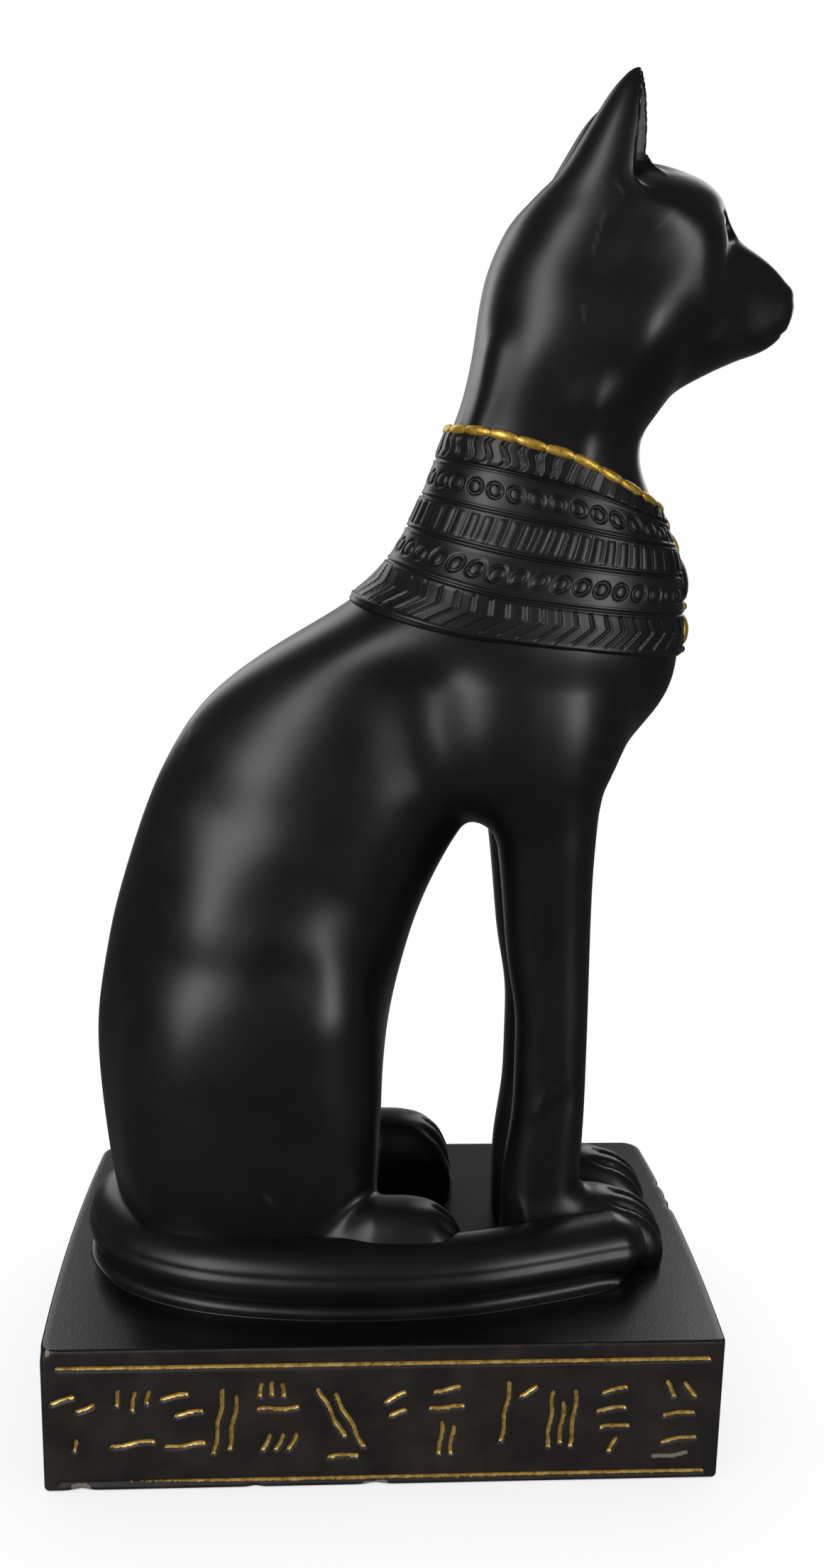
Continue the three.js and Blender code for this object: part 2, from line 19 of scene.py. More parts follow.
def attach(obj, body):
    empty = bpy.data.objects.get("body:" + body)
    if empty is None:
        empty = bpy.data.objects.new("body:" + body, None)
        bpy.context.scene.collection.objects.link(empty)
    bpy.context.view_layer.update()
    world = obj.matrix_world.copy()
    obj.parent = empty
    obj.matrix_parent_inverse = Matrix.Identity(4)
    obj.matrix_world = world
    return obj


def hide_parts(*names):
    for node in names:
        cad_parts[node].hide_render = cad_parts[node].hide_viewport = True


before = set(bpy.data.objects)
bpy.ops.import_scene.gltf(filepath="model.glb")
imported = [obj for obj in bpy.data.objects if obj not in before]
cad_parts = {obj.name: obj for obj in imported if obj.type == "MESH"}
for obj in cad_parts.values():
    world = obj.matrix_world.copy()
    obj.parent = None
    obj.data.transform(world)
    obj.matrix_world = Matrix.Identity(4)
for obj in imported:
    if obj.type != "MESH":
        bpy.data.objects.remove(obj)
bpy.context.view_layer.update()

# %% [markdown]
# ## The camera
# The photograph looks at the cat's right side from a little above, from about a quarter of a metre.
# Its place, turns and lens were worked out from the plinth's corners, so the camera comes first, and
# every later step is judged through it.

# %% Camera
MM = 0.001
SENSOR_LONG_SIDE = 36.0
IMAGE_HEIGHT_PX = 2210
FOCAL_LENGTH_PX = 2066


def add_camera(place_mm, yaw, pitch, roll):
    """A camera at a place, turned left by yaw, looking down by pitch, and rolled about its own axis."""
    data = bpy.data.cameras.new("photo_camera")
    data.sensor_width = SENSOR_LONG_SIDE
    data.lens = SENSOR_LONG_SIDE * FOCAL_LENGTH_PX / IMAGE_HEIGHT_PX
    data.clip_start = 0.01
    camera = bpy.data.objects.new("photo_camera", data)
    turn = Matrix.Rotation(math.radians(yaw), 4, "Z")
    tilt = Matrix.Rotation(math.radians(90 - pitch), 4, "X")
    spin = Matrix.Rotation(math.radians(roll), 4, "Z")
    camera.matrix_world = Matrix.Translation([v * MM for v in place_mm]) @ turn @ tilt @ spin
    bpy.context.scene.collection.objects.link(camera)
    bpy.context.scene.camera = camera
    return camera


camera = add_camera((-9.76, -232.71, 154.39), yaw=-3.54, pitch=12.237, roll=1.1636)
print("lens", round(camera.data.lens, 2), "mm")

# %% [markdown]
# ## Smooth curves through a few sections
# A modeller sets out a body by sections: how far back and forward it reaches and how wide it is at a
# few heights. A curve through such rows must not overshoot them, so each row's slope is the harmonic
# mean of the slopes beside it. All lengths here are millimetres, and heights on the cat are measured
# up from the plinth's top.

# %% Curves through rows
PLINTH_HEIGHT = 24.0


def through(rows):
    """A function of a place that gives one smooth value for each column after the first."""
    rows = np.array(rows, float)
    places, values = rows[:, 0], rows[:, 1:]
    spans = np.diff(places)
    slopes = np.diff(values, axis=0) / spans[:, None]
    product = slopes[:-1] * slopes[1:]
    total = np.where(product > 0, slopes[:-1] + slopes[1:], 1)
    inner = np.where(product > 0, 2 * product / total, 0)
    tangents = np.vstack([slopes[:1], inner, slopes[-1:]])

    def at(position):
        place = np.clip(position, places[0], places[-1])
        i = np.clip(np.searchsorted(places, place, side="right") - 1, 0, len(spans) - 1)
        span = spans[i]
        t = (place - places[i]) / span
        rise = t * t * (3 - 2 * t)
        leave = t * (1 - t) ** 2 * span
        arrive = t * t * (t - 1) * span
        return [
            v[i] + (v[i + 1] - v[i]) * rise + leave * m[i] + arrive * m[i + 1]
            for v, m in zip(values.T, tangents.T)
        ]

    return at


EASE = 4.0
EASE_FADE = 20.0


def eased(rows):
    """Curves through rows, averaged over a few millimetres so that no bend starts with a step, with
    five values that count 1, 2, 3, 2 and 1 ninths. The averaging narrows to nothing towards the top
    row, which keeps a rounded end round."""
    curves = through(rows)
    top = rows[-1][0]

    def at(up):
        reach = EASE * np.clip((top - up) / EASE_FADE, 0, 1)
        shares = ((-1, 1), (-0.5, 2), (0, 3), (0.5, 2), (1, 1))
        sums = [[share * v / 9 for v in curves(up + place * reach)] for place, share in shares]
        return [sum(column) for column in zip(*sums)]

    return at


def smooth_step(value, low, high):
    """0 below low, 1 above high, and a smooth rise between."""
    t = np.clip((value - low) / (high - low), 0, 1)
    return t * t * (3 - 2 * t)


def smooth_min(a, b, blend):
    """The smaller of two distances, with the crease between them filled to a fillet."""
    near = np.maximum(blend - np.abs(a - b), 0) / blend
    return np.minimum(a, b) - near * near * blend / 4


def smooth_max(a, b, blend):
    """The larger of two distances, with the edge between them rounded off."""
    return -smooth_min(-a, -b, blend)


# %% [markdown]
# ## The cat as a field of distances
# The cat has no edges: haunch, ribs, shoulder and skull run into each other, as clay does under a
# thumb. A skin lofted round each part would leave seams where they meet. Here each part is a field
# instead, negative inside and positive outside, and a smooth minimum melts the fields together. The
# surface is wherever the sum is zero.

# %% Distances to simple masses
LEVEL_STEP = 0.2
STACKED_END_BLEND = 1.0
STRUNG_END_BLEND = 0.6
FAR = 99.0


def ring(u, v, power):
    """1 on a rounded outline and growing evenly outwards: (|u|^power + |v|^power)^(1/power)."""
    return (np.abs(u) ** power + np.abs(v) ** power) ** (1 / power)


def distance_to(level, x, y, up, axis):
    """Distance to level = 1 to the first order: level less 1, over the length of level's slope.
    The slope along the axis of the sections is taken at the outline, so it is divided by level."""
    value = level(x, y, up)
    slopes = [
        level(x + LEVEL_STEP, y, up) - value,
        level(x, y + LEVEL_STEP, up) - value,
        level(x, y, up + LEVEL_STEP) - value,
    ]
    slopes[axis] = slopes[axis] / np.maximum(value, 1)
    steepness = np.sqrt(sum(slope * slope for slope in slopes)) / LEVEL_STEP
    return (value - 1) / np.maximum(steepness, 1e-4)


def stacked(rows, power):
    """The distance to level sections stacked upwards: rows of height, back, front, inner, outer. It is
    smooth_max of the distance to the outline and the distances past the two ends."""
    curves = eased(rows)
    low, high = rows[0][0], rows[-1][0]

    def level(x, y, up):
        back, front, inner, outer = curves(up)
        u = (x - (back + front) / 2) / ((front - back) / 2)
        v = (y - (inner + outer) / 2) / ((outer - inner) / 2)
        return ring(u, v, power)

    def field(x, y, up):
        ends = np.maximum(low - up, up - high)
        return smooth_max(distance_to(level, x, y, up, 2), ends, STACKED_END_BLEND)

    return field


def strung(rows, side, power):
    """The distance to upright sections strung forwards: rows of place, bottom, top, half width."""
    curves = through(rows)
    low, high = rows[0][0], rows[-1][0]

    def level(x, y, up):
        bottom, top, half = curves(x)
        return ring((y - side) / half, (up - (bottom + top) / 2) / ((top - bottom) / 2), power)

    def field(x, y, up):
        ends = np.maximum(low - x, x - high)
        return smooth_max(distance_to(level, x, y, up, 0), ends, STRUNG_END_BLEND)

    return field


def egg(centre, radii):
    """The distance to an ellipsoid: its level times its level less 1, over the slope's length."""
    centre, radii = np.array(centre, float), np.array(radii, float)

    def field(x, y, up):
        parts = [(x - centre[0]) / radii[0], (y - centre[1]) / radii[1], (up - centre[2]) / radii[2]]
        level = np.sqrt(sum(part * part for part in parts))
        slope = np.sqrt(sum((part / radius) ** 2 for part, radius in zip(parts, radii)))
        return level * (level - 1) / np.maximum(slope, 1e-6)

    return field


# %% Ridges and valleys drawn in side view
def stroke(x, up, points, width, rise):
    """A soft ridge along a line in side view, or a valley with a negative rise. Across each stretch it
    is rise times exp(-(distance / width)^2), and it fades in and out smoothly at the line's ends. One
    point alone gives a round bump of the same section."""
    if len(points) == 1:
        away = np.hypot(x - points[0][0], up - points[0][1])
        return rise * np.exp(-((away / width) ** 2))
    total = 0
    for (x0, up0), (x1, up1) in zip(points[:-1], points[1:]):
        length = math.hypot(x1 - x0, up1 - up0)
        along_x, along_up = (x1 - x0) / length, (up1 - up0) / length
        along = (x - x0) * along_x + (up - up0) * along_up
        across = (x - x0) * along_up - (up - up0) * along_x
        share = np.tanh(1.2 * along / width) - np.tanh(1.2 * (along - length) / width)
        total = total + 0.5 * share * np.exp(-((across / width) ** 2))
    return rise * total


def sculpt(x, up, strokes):
    """The rises of all strokes at a place in side view, added up."""
    return sum(stroke(x, up, *one) for one in strokes)


# %% [markdown]
# ## The sections of the body
# The cat sits upright with its front legs straight, and a clear gap lies behind them. A sculptor would
# block out the masses and soften them. These rows do that, and they repeat the solid's own sections,
# so the fine surface keeps its form: the trunk from rump to crown, the haunches, the front legs and
# the paws. The lowest rows reach a little into the plinth, so that no gap shows under the cat.

# %% Trunk: height, back, widest place, front, half width and power
TRUNK_CROWN = 175.4
TRUNK_END_BLEND = 1.2
TRUNK = [
    [-1.5, -41.7, -21, -2.6, 16, 2.15],
    [16, -45.6, -21, -1, 17.8, 2.15],
    [38, -47.3, -21, 0.5, 18.6, 2.15],
    [55, -45, -20, 4, 18, 2.15],
    [69, -41.2, -16, 9.6, 17.8, 2.15],
    [80, -37.3, -8.4, 18, 17.7, 2.15],
    [86, -34.3, -3.6, 36, 17.1, 2.15],
    [90, -31.9, 0, 40.8, 16.7, 2.15],
    [94, -28.8, 3, 44, 16.5, 2.15],
    [99, -22.8, 6.5, 46, 16.4, 2.15],
    [104, -15.2, 11, 46.2, 16.4, 2.15],
    [109, -6.7, 15.8, 46, 15.9, 2.15],
    [115, -0.2, 20, 45.4, 14.9, 2.15],
    [124, 4.7, 24, 41.7, 13, 2.15],
    [133, 8, 23.5, 38, 12.1, 2.3],
    [140, 10.7, 25, 39.6, 13.3, 2.6],
    [147, 12.2, 27.5, 42, 15.1, 2.75],
    [157, 13.5, 33.5, 47.2, 15.5, 3],
    [165, 16.4, 31.5, 49.6, 15.4, 2.3],
    [169, 19.6, 33.5, 49.4, 13.9, 2.15],
    [172, 23.7, 35.5, 47, 11, 2.15],
    [174, 28.4, 36, 42.6, 6.6, 2.15],
    [175.2, 33.4, 36.5, 39, 3.2, 2.15],
]
trunk_curves = eased(TRUNK)


def trunk_level(x, y, up):
    """The trunk's rounded section, whose widest place may lie ahead of or behind its middle. Each row
    ends with its power: 2 would be an ellipse, and the head is boxier."""
    back, widest, front, half, power = trunk_curves(up)
    reach = np.where(x > widest, front - widest, widest - back)
    return ring((x - widest) / reach, y / half, power)


def trunk(x, y, up):
    """The distance to the trunk, closed above by its crown and below inside the plinth."""
    ends = np.maximum(TRUNK[0][0] - up, up - TRUNK_CROWN)
    return smooth_max(distance_to(trunk_level, x, y, up, 2), ends, TRUNK_END_BLEND)


# %% Haunches, legs and paws
haunch = stacked([
    [-1.5, -35, -3.5, 3, 17],
    [10, -38.5, -2, 3, 19.2],
    [25, -40.5, -1.6, 3, 21.2],
    [38, -39.5, -2, 3, 21.6],
    [50, -36.5, -4.6, 3, 20.5],
    [60, -32.5, -9.5, 4, 18.2],
    [68, -29, -15, 5, 14.6],
    [76, -27, -18, 5, 9.5],
    [84, -25, -20, 3, 5],
], 2.2)

front_leg = stacked([
    [-1.5, 20, 33, 2.3, 12.6],
    [12, 20, 33, 2.3, 12.4],
    [28, 21.5, 33.3, 2.4, 12.2],
    [41, 21.5, 33.2, 2.2, 12.4],
    [53, 19.6, 33, 1.8, 13],
    [66, 18.2, 32.8, 1.2, 14.4],
    [74, 17, 33, 0.6, 15.6],
    [82, 13.5, 33.6, 0, 16.2],
    [90, 8, 34.6, -1, 16.2],
    [98, 8, 34, -2, 14.8],
    [106, 13, 30, -2, 12],
], 2.3)

PAW_POWER = 2.3
FRONT_PAW_SIDE = 7.4
HIND_PAW_SIDE = 16.6
front_paw = strung([
    [24, -2.4, 12, 5.6],
    [35, -2.4, 12.2, 6],
    [41, -2.2, 10.9, 6.4],
    [44.6, -1.8, 8.7, 6],
    [46.8, -1.2, 5.6, 4.7],
    [47.7, -0.6, 2.4, 3],
], FRONT_PAW_SIDE, PAW_POWER)
hind_paw = strung([
    [-13, -2.7, 9, 2.4],
    [-7, -2.8, 12.4, 4.4],
    [-1.5, -2.9, 15, 6.2],
    [3, -3, 14.9, 6.6],
    [7, -2.8, 14.2, 6.6],
    [10.6, -2.4, 11.8, 6.3],
    [12.9, -1.6, 7.6, 5.2],
    [13.8, -0.8, 2.8, 3.4],
], HIND_PAW_SIDE, PAW_POWER)

TOE_PITCH = 3.1
TOE_DEPTH = 0.95
TOE_GROOVE_SPREAD = 0.17


def toes(x, y, side, start, end):
    """How far the grooves between four toes sink: depth times exp(-(distance / spread)^2), measured
    in toe widths from the nearest of three grooves, and growing from start to end."""
    place = (y - side) / TOE_PITCH
    groove = np.abs(place - np.clip(np.round(place), -1, 1))
    depth = TOE_DEPTH * np.exp(-((groove / TOE_GROOVE_SPREAD) ** 2))
    return depth * smooth_step(x, start, end)


# %% [markdown]
# ## What the thumb adds
# Over those masses lie the soft forms that the light picks out: the column of the loin, the ribs, the
# valley before the haunch, the shoulder blade and the small bump above the wrist. They could be
# sculpted with a brush. Here each is a short line in side view, or one point, that raises or sinks
# the skin by a soft bell curve, so that it can be moved and tuned against the photograph.

# %% Soft forms of the flank: lines in side view with their width and rise
FLANK_STROKES = [
    ([(-30, 87), (-12, 86)], 6.0, 0.55),
    ([(-32, 78.5), (-12, 77)], 6.0, -0.65),
    ([(-38, 54), (-24, 53.5)], 5.0, -0.8),
    ([(-1, 104), (4, 92), (8, 77)], 8.0, -1.9),
    ([(2, 97), (9, 95)], 8.0, -1.0),
    ([(-18, 78), (-10, 68)], 8.0, 1.0),
    ([(-21, 60), (-15, 59.5)], 4.0, 0.4),
    ([(-18, 54.5), (-11, 53)], 3.5, -0.45),
    ([(-16, 45), (-3, 47)], 5.0, 0.7),
    ([(24.4, 26.4), (27.2, 32)], 1.2, 0.3),
    ([(26.4, 25.2), (29.4, 31)], 1.6, -0.25),
]
shoulder = egg((19, 9.4, 92), (14.5, 8.9, 15.5))


def body_field(x, y, up):
    """Negative inside the cat's body: its masses melted together, with the flank's soft forms on its
    sides. Above the shoulders it turns into the trunk alone, which carries the collar."""
    y = np.abs(y)
    side = smooth_step(y, 5, 11)
    core = trunk(x, y, up)
    field = smooth_min(core, haunch(x, y, up), 7)
    legs = smooth_min(front_leg(x, y, up), front_paw(x, y, up) + toes(x, y, FRONT_PAW_SIDE, 36, 41), 2.5)
    field = smooth_min(field, legs, 5.5 + 2.5 * smooth_step(x, 22, 30))
    field = smooth_min(field, shoulder(x, y, up), 6)
    field = smooth_min(field, hind_paw(x, y, up) + toes(x, y, HIND_PAW_SIDE, 6.5, 10.5), 2)
    field = field - side * sculpt(x, up, FLANK_STROKES)
    return field + (core - field) * smooth_step(up, 97, 108)


# %% [markdown]
# ## From field to mesh
# A net is thrown over the zero surface: each small cube of a grid that the surface crosses gets one
# point, at the middle of its crossings, and each crossed grid edge joins its four cubes with a quad.
# The points are then slid down the field's slope until they lie on the surface, which takes away the
# grid's steps. Metaballs melt together in the same way, but they are only balls and bars, and can't
# take these sections. The cat is even about its middle plane, so half of the grid is worked out and
# turned over.

# %% Nets over a field
AXES = np.eye(3, dtype=int)
CORNERS = list(itertools.product((0, 1), repeat=3))


def mean_crossing(values, cell):
    """The middle of the places where field = 0 crosses the twelve edges of each cell, in grid steps.
    A crossing's share of an edge is a / (a - b), from the values a and b at its ends."""
    total, crossings = np.zeros((len(cell), 3)), np.zeros(len(cell))
    for axis, corner in itertools.product(range(3), CORNERS):
        if corner[axis]:
            continue
        start = cell + corner
        a, b = values[tuple(start.T)], values[tuple((start + AXES[axis]).T)]
        crossed = (a < 0) != (b < 0)
        share = np.where(crossed, a / np.where(crossed, a - b, 1), 0)
        total += np.where(crossed[:, None], corner + share[:, None] * AXES[axis], 0)
        crossings += crossed
    return cell + total / crossings[:, None]


def joined_quads(inside, number):
    """A quad for each grid edge that the surface crosses. It joins the points of the edge's four
    cells, in the order that faces it outwards."""
    quads = []
    for axis in range(3):
        second, third = AXES[(axis + 1) % 3], AXES[(axis + 2) % 3]
        first_cut = tuple(slice(0, -1) if AXES[axis][i] else slice(1, -1) for i in range(3))
        last_cut = tuple(slice(1, None) if AXES[axis][i] else slice(1, -1) for i in range(3))
        start = np.argwhere(inside[first_cut] != inside[last_cut]) + second + third
        around = [start, start - second, start - second - third, start - third]
        quad = np.stack([number[tuple(place.T)] for place in around], axis=1)
        outward = inside[tuple(start.T)]
        quads.append(np.where(outward[:, None], quad, quad[:, ::-1]))
    return np.concatenate(quads)


def surface_net(field, low, high, step):
    """Points and quads over field = 0 in a box that is even about y = 0."""
    x = np.arange(low[0], high[0] + step, step)
    y = np.arange(0, high[1] + step, step)
    up = np.arange(low[2], high[2] + step, step)
    half = field(x[:, None, None], y[None, :, None], up[None, None, :])
    values = np.concatenate([half[:, :0:-1], half], axis=1)
    origin = np.array([x[0], -y[-1], up[0]])
    inside = values < 0
    cells = tuple(n - 1 for n in values.shape)
    filled = sum(
        inside[i:i + cells[0], j:j + cells[1], k:k + cells[2]].astype(np.int8) for i, j, k in CORNERS
    )
    cell = np.argwhere((filled > 0) & (filled < 8))
    number = np.full(cells, -1)
    number[tuple(cell.T)] = np.arange(len(cell))
    return mean_crossing(values, cell) * step + origin, joined_quads(inside, number)


def settle(points, field, reach, rounds=3):
    """Slides points onto field = 0: each goes against the slope by the field over the slope squared."""
    nudge = 0.02
    for _ in range(rounds):
        x, y, up = points.T
        value = field(x, y, up)
        slope = np.stack([
            field(x + nudge, y, up) - value,
            field(x, y + nudge, up) - value,
            field(x, y, up + nudge) - value,
        ], axis=1) / nudge
        steepness = np.maximum((slope ** 2).sum(axis=1), 0.2)
        move = np.clip(value / steepness, -reach, reach)
        points = points - move[:, None] * slope
    return points


# %% Meshes from arrays
def make_mesh(name, points, quads, triangles=()):
    """A smooth-shaded mesh from points in millimetres above the plinth's top, quads and triangles."""
    mesh = bpy.data.meshes.new(name)
    places = np.asarray(points, float) + [0, 0, PLINTH_HEIGHT]
    mesh.vertices.add(len(places))
    mesh.vertices.foreach_set("co", (places * MM).ravel())
    quads = np.asarray(quads, int).reshape(-1, 4)
    triangles = np.asarray(triangles, int).reshape(-1, 3)
    corners = np.concatenate([quads.ravel(), triangles.ravel()])
    starts = np.concatenate([np.arange(len(quads)) * 4, quads.size + np.arange(len(triangles)) * 3])
    mesh.loops.add(len(corners))
    mesh.loops.foreach_set("vertex_index", corners)
    mesh.polygons.add(len(starts))
    mesh.polygons.foreach_set("loop_start", starts)
    mesh.polygons.foreach_set("use_smooth", np.ones(len(starts), bool))
    mesh.update(calc_edges=True)
    faces = len(quads) * 2 + len(triangles)
    a, b, c, d = (places[quads[:, i]] for i in range(4))
    volume = (np.cross(b - a, c - a) * a).sum() / 6 + (np.cross(c - a, d - a) * a).sum() / 6
    print(name, faces, "triangles, about", round(volume / 1000, 1), "cubic centimetres")
    return mesh


def add_piece(mesh, material):
    """Links a mesh as a piece of the figure that stands for the plain solid."""
    piece = bpy.data.objects.new(mesh.name, mesh)
    bpy.context.scene.collection.objects.link(piece)
    mesh.materials.append(material)
    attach(piece, "root")
    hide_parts("bastet_cat_figure")
    return piece


def set_attribute(mesh, name, values):
    """One number for each point, under a name that a material can read."""
    attribute = mesh.attributes.new(name, "FLOAT", "POINT")
    attribute.data.foreach_set("value", np.asarray(values, np.float32).ravel())


def grid_quads(rows, columns):
    """Quads over a grid of points numbered row by row, with the last column joined to the first."""
    row = np.arange(rows - 1)[:, None] * columns
    here = np.arange(columns)
    after = (here + 1) % columns
    corners = [row + here, row + after, row + columns + after, row + columns + here]
    return np.stack(corners, axis=-1).reshape(-1, 4)


def fan(first, count, middle, upward):
    """Triangles that close a ring of points at a middle point."""
    here = first + np.arange(count)
    after = first + (np.arange(count) + 1) % count
    ends = (here, after) if upward else (after, here)
    return np.stack([*ends, np.full(count, middle)], axis=1)


def make_closed(name, points, middles, flipped):
    """A closed mesh from rows of points that go round, with the first and the last row each drawn in
    to a middle point. Flipped is for rows that go round the other way, so that faces point outwards."""
    rows, columns = points.shape[:2]
    flat = points.reshape(-1, 3)
    quads = grid_quads(rows, columns)
    first = fan(0, columns, len(flat), flipped)
    last = fan((rows - 1) * columns, columns, len(flat) + 1, not flipped)
    return make_mesh(
        name, np.concatenate([flat, middles]), quads[:, ::-1] if flipped else quads,
        np.concatenate([first, last]))


# %% [markdown]
# ## Paints
# Both paints lie on cast resin. The black is a satin acrylic, sprayed or brushed thin: nearly black,
# with a soft sheen and the faintest grain. The gold is a craft paint of mica flakes in varnish, so it
# shines like metal but breaks up where the brush skipped. Each starts from values typical of that
# coat and is then matched to the photograph.

# %% Colours and nodes
def linear(hex_colour):
    """An sRGB hex colour as linear red, green, blue and alpha."""
    parts = [int(hex_colour[i:i + 2], 16) / 255 for i in (1, 3, 5)]
    return [v / 12.92 if v <= 0.04045 else ((v + 0.055) / 1.055) ** 2.4 for v in parts] + [1.0]


def add_node(tree, kind, settings=None, **links):
    """Adds a node, sets its properties, and sets or links its inputs by their names, or by number:
    i6 is the input numbered 6."""
    node = tree.nodes.new(kind)
    for key, value in (settings or {}).items():
        setattr(node, key, value)
    for key, value in links.items():
        numbered = key[0] == "i" and key[1:].isdigit()
        socket = node.inputs[int(key[1:]) if numbered else key.replace("_", " ")]
        if isinstance(value, bpy.types.NodeSocket):
            tree.links.new(value, socket)
        else:
            socket.default_value = value
    return node


def new_material(name):
    """An empty node material and its tree."""
    material = bpy.data.materials.new(name)
    material.use_nodes = True
    material.node_tree.nodes.clear()
    return material, material.node_tree


def ramp(tree, factor, stops):
    """A colour ramp through stops of a place and a grey or an sRGB hex colour."""
    node = add_node(tree, "ShaderNodeValToRGB", i0=factor)
    elements = node.color_ramp.elements
    elements[0].position, elements[1].position = stops[0][0], stops[-1][0]
    for place, _ in stops[1:-1]:
        elements.new(place)
    for element, (_, colour) in zip(elements, stops):
        element.color = linear(colour) if isinstance(colour, str) else (colour, colour, colour, 1)
    return node


# %% Satin black paint
GRAIN_MM = 0.35
MOTTLE_MM = 9.0
BRUSH_MM = 0.8


def black_paint(name):
    """Satin black paint on cast resin: near black, roughness about 0.35, with a very fine grain. A
    scratch shows the grey-brown resin dust in it."""
    material, tree = new_material(name)
    place = add_node(tree, "ShaderNodeTexCoord").outputs["Object"]
    grain = add_node(tree, "ShaderNodeTexNoise", Vector=place, Scale=1 / (GRAIN_MM * MM), Detail=2.0)
    mottle = add_node(tree, "ShaderNodeTexNoise", Vector=place, Scale=1 / (MOTTLE_MM * MM), Detail=3.0)
    tone = ramp(tree, mottle.outputs["Fac"], [(0.3, "#0e0d0e"), (0.7, "#141314")])
    scratch = add_node(tree, "ShaderNodeAttribute", {"attribute_name": "scratch"}).outputs["Fac"]
    colour = add_node(
        tree, "ShaderNodeMix", {"data_type": "RGBA"}, Factor=scratch, i6=tone.outputs["Color"],
        i7=linear("#35312e"))
    sheen = ramp(tree, mottle.outputs["Fac"], [(0.3, 0.31), (0.7, 0.37)])
    bump = add_node(
        tree, "ShaderNodeBump", Height=grain.outputs["Fac"], Strength=0.25, Distance=0.03 * MM)
    shader = add_node(
        tree, "ShaderNodeBsdfPrincipled", Base_Color=colour.outputs[2], Metallic=0.0, IOR=1.5,
        Roughness=sheen.outputs["Color"], Normal=bump.outputs["Normal"])
    add_node(tree, "ShaderNodeOutputMaterial", Surface=shader.outputs["BSDF"])
    return material


def gold_paint(name):
    """Mica gold paint over black: metal with roughness about 0.35, darker where the coat is thin."""
    material, tree = new_material(name)
    place = add_node(tree, "ShaderNodeTexCoord").outputs["Object"]
    brush = add_node(tree, "ShaderNodeTexNoise", Vector=place, Scale=1 / (BRUSH_MM * MM), Detail=4.0)
    tone = ramp(tree, brush.outputs["Fac"], [(0.25, "#a87a22"), (0.5, "#e2b548"), (0.75, "#f8dc80")])
    bump = add_node(
        tree, "ShaderNodeBump", Height=brush.outputs["Fac"], Strength=0.35, Distance=0.1 * MM)
    shader = add_node(
        tree, "ShaderNodeBsdfPrincipled", Base_Color=tone.outputs["Color"], Metallic=0.65,
        Roughness=0.36, Normal=bump.outputs["Normal"])
    add_node(tree, "ShaderNodeOutputMaterial", Surface=shader.outputs["BSDF"])
    return material


BODY_PAINT = black_paint("satin_black_paint_on_resin")
GOLD_PAINT = gold_paint("mica_gold_paint")

# %% [markdown]
# ## The body and the head
# The cat is made in two nets that meet out of sight under the collar, because the head needs a finer
# one for its ears and eyes. The paint on its right side has a few hair-fine scratches and specks of
# dust. They have no depth that shows, so they are an attribute on the points that the paint reads.

# %% Fine scratches and specks on the right side, from one place to another in side view
SCRATCHES = [
    ((36.4, 164), (38.8, 166.3)), ((30.1, 170), (31.4, 168.4)), ((27.3, 160.4), (28.7, 165.8)),
    ((26.3, 153.1), (26.4, 151.1)), ((-19, 18.6), (-17.9, 16.7)), ((37.7, 155), (37.9, 155)),
    ((35.9, 166.8), (36.1, 166.8)), ((-10, 55), (-9.8, 55.1)),
]
SCRATCH_WIDTH = 0.2


def add_scratches(piece, points):
    """Marks the points near a scratch: exp(-(distance / width)^2), on the right side alone."""
    x, y, up = points.T
    nearest = np.full(len(points), FAR)
    for (x0, up0), (x1, up1) in SCRATCHES:
        length = math.hypot(x1 - x0, up1 - up0)
        along_x, along_up = (x1 - x0) / length, (up1 - up0) / length
        along = np.clip((x - x0) * along_x + (up - up0) * along_up, 0, length)
        away = np.hypot(x - x0 - along * along_x, up - up0 - along * along_up)
        nearest = np.minimum(nearest, np.where(y < 0, away, FAR))
    set_attribute(piece.data, "scratch", np.exp(-((nearest / SCRATCH_WIDTH) ** 2)))


# %% The body
COLLAR_SEAM = 117.0
BODY_STEP = 0.64
NET_MARGIN = 1.5


def add_net(name, field, low, high, step):
    """The surface of a field within a box, as a piece in black paint with its scratches."""
    points, quads = surface_net(field, low, high, step)
    points = settle(points, field, step)
    piece = add_piece(make_mesh(name, points, quads), BODY_PAINT)
    add_scratches(piece, points)


def body_below_collar(x, y, up):
    """The body's field, cut off flat at the seam: the larger of the two distances."""
    return np.maximum(body_field(x, y, up), up - COLLAR_SEAM)


add_net("cat_body", body_below_collar, (-50, 0, -2.6), (50.5, 25.5, COLLAR_SEAM + NET_MARGIN), BODY_STEP)

# %% Forms of the head: muzzle, ears, eyes, nose and soft forms in side view
muzzle = strung([
    [33, 136.5, 165, 12.4],
    [39, 138.6, 168, 12.4],
    [43, 142, 168.6, 11.6],
    [48.6, 145.2, 167.2, 9.4],
    [52.5, 147, 164.6, 7.4],
    [57.2, 148.9, 161.6, 5.3],
    [60, 151.4, 158.8, 3.7],
    [61.3, 154.2, 156.6, 1.5],
], 0.0, 2.1)
MUZZLE_LEAN = 0.045

EAR_TURN = math.radians(23)
EAR_AXIS = (30.0, 9.6)
EAR_HOLLOW_DEPTH = 5.0
EAR_HOLLOW_WIDTH_SHARE = 0.72
EAR_FULL_WIDTH = 12.0
EAR = [
    [150, 21, 30, 5, 12],
    [158, 18.5, 33, 3.8, 14.2],
    [162, 17.8, 34.8, 3.4, 15],
    [166, 17.6, 36, 3.2, 15.3],
    [172, 23, 36.6, 4.4, 15],
    [178, 27, 36.4, 6, 14.2],
    [183, 30.4, 35.8, 8.1, 12.8],
    [186, 33.2, 34.8, 9.8, 10.9],
]
ear_outside = stacked(EAR, 2.0)


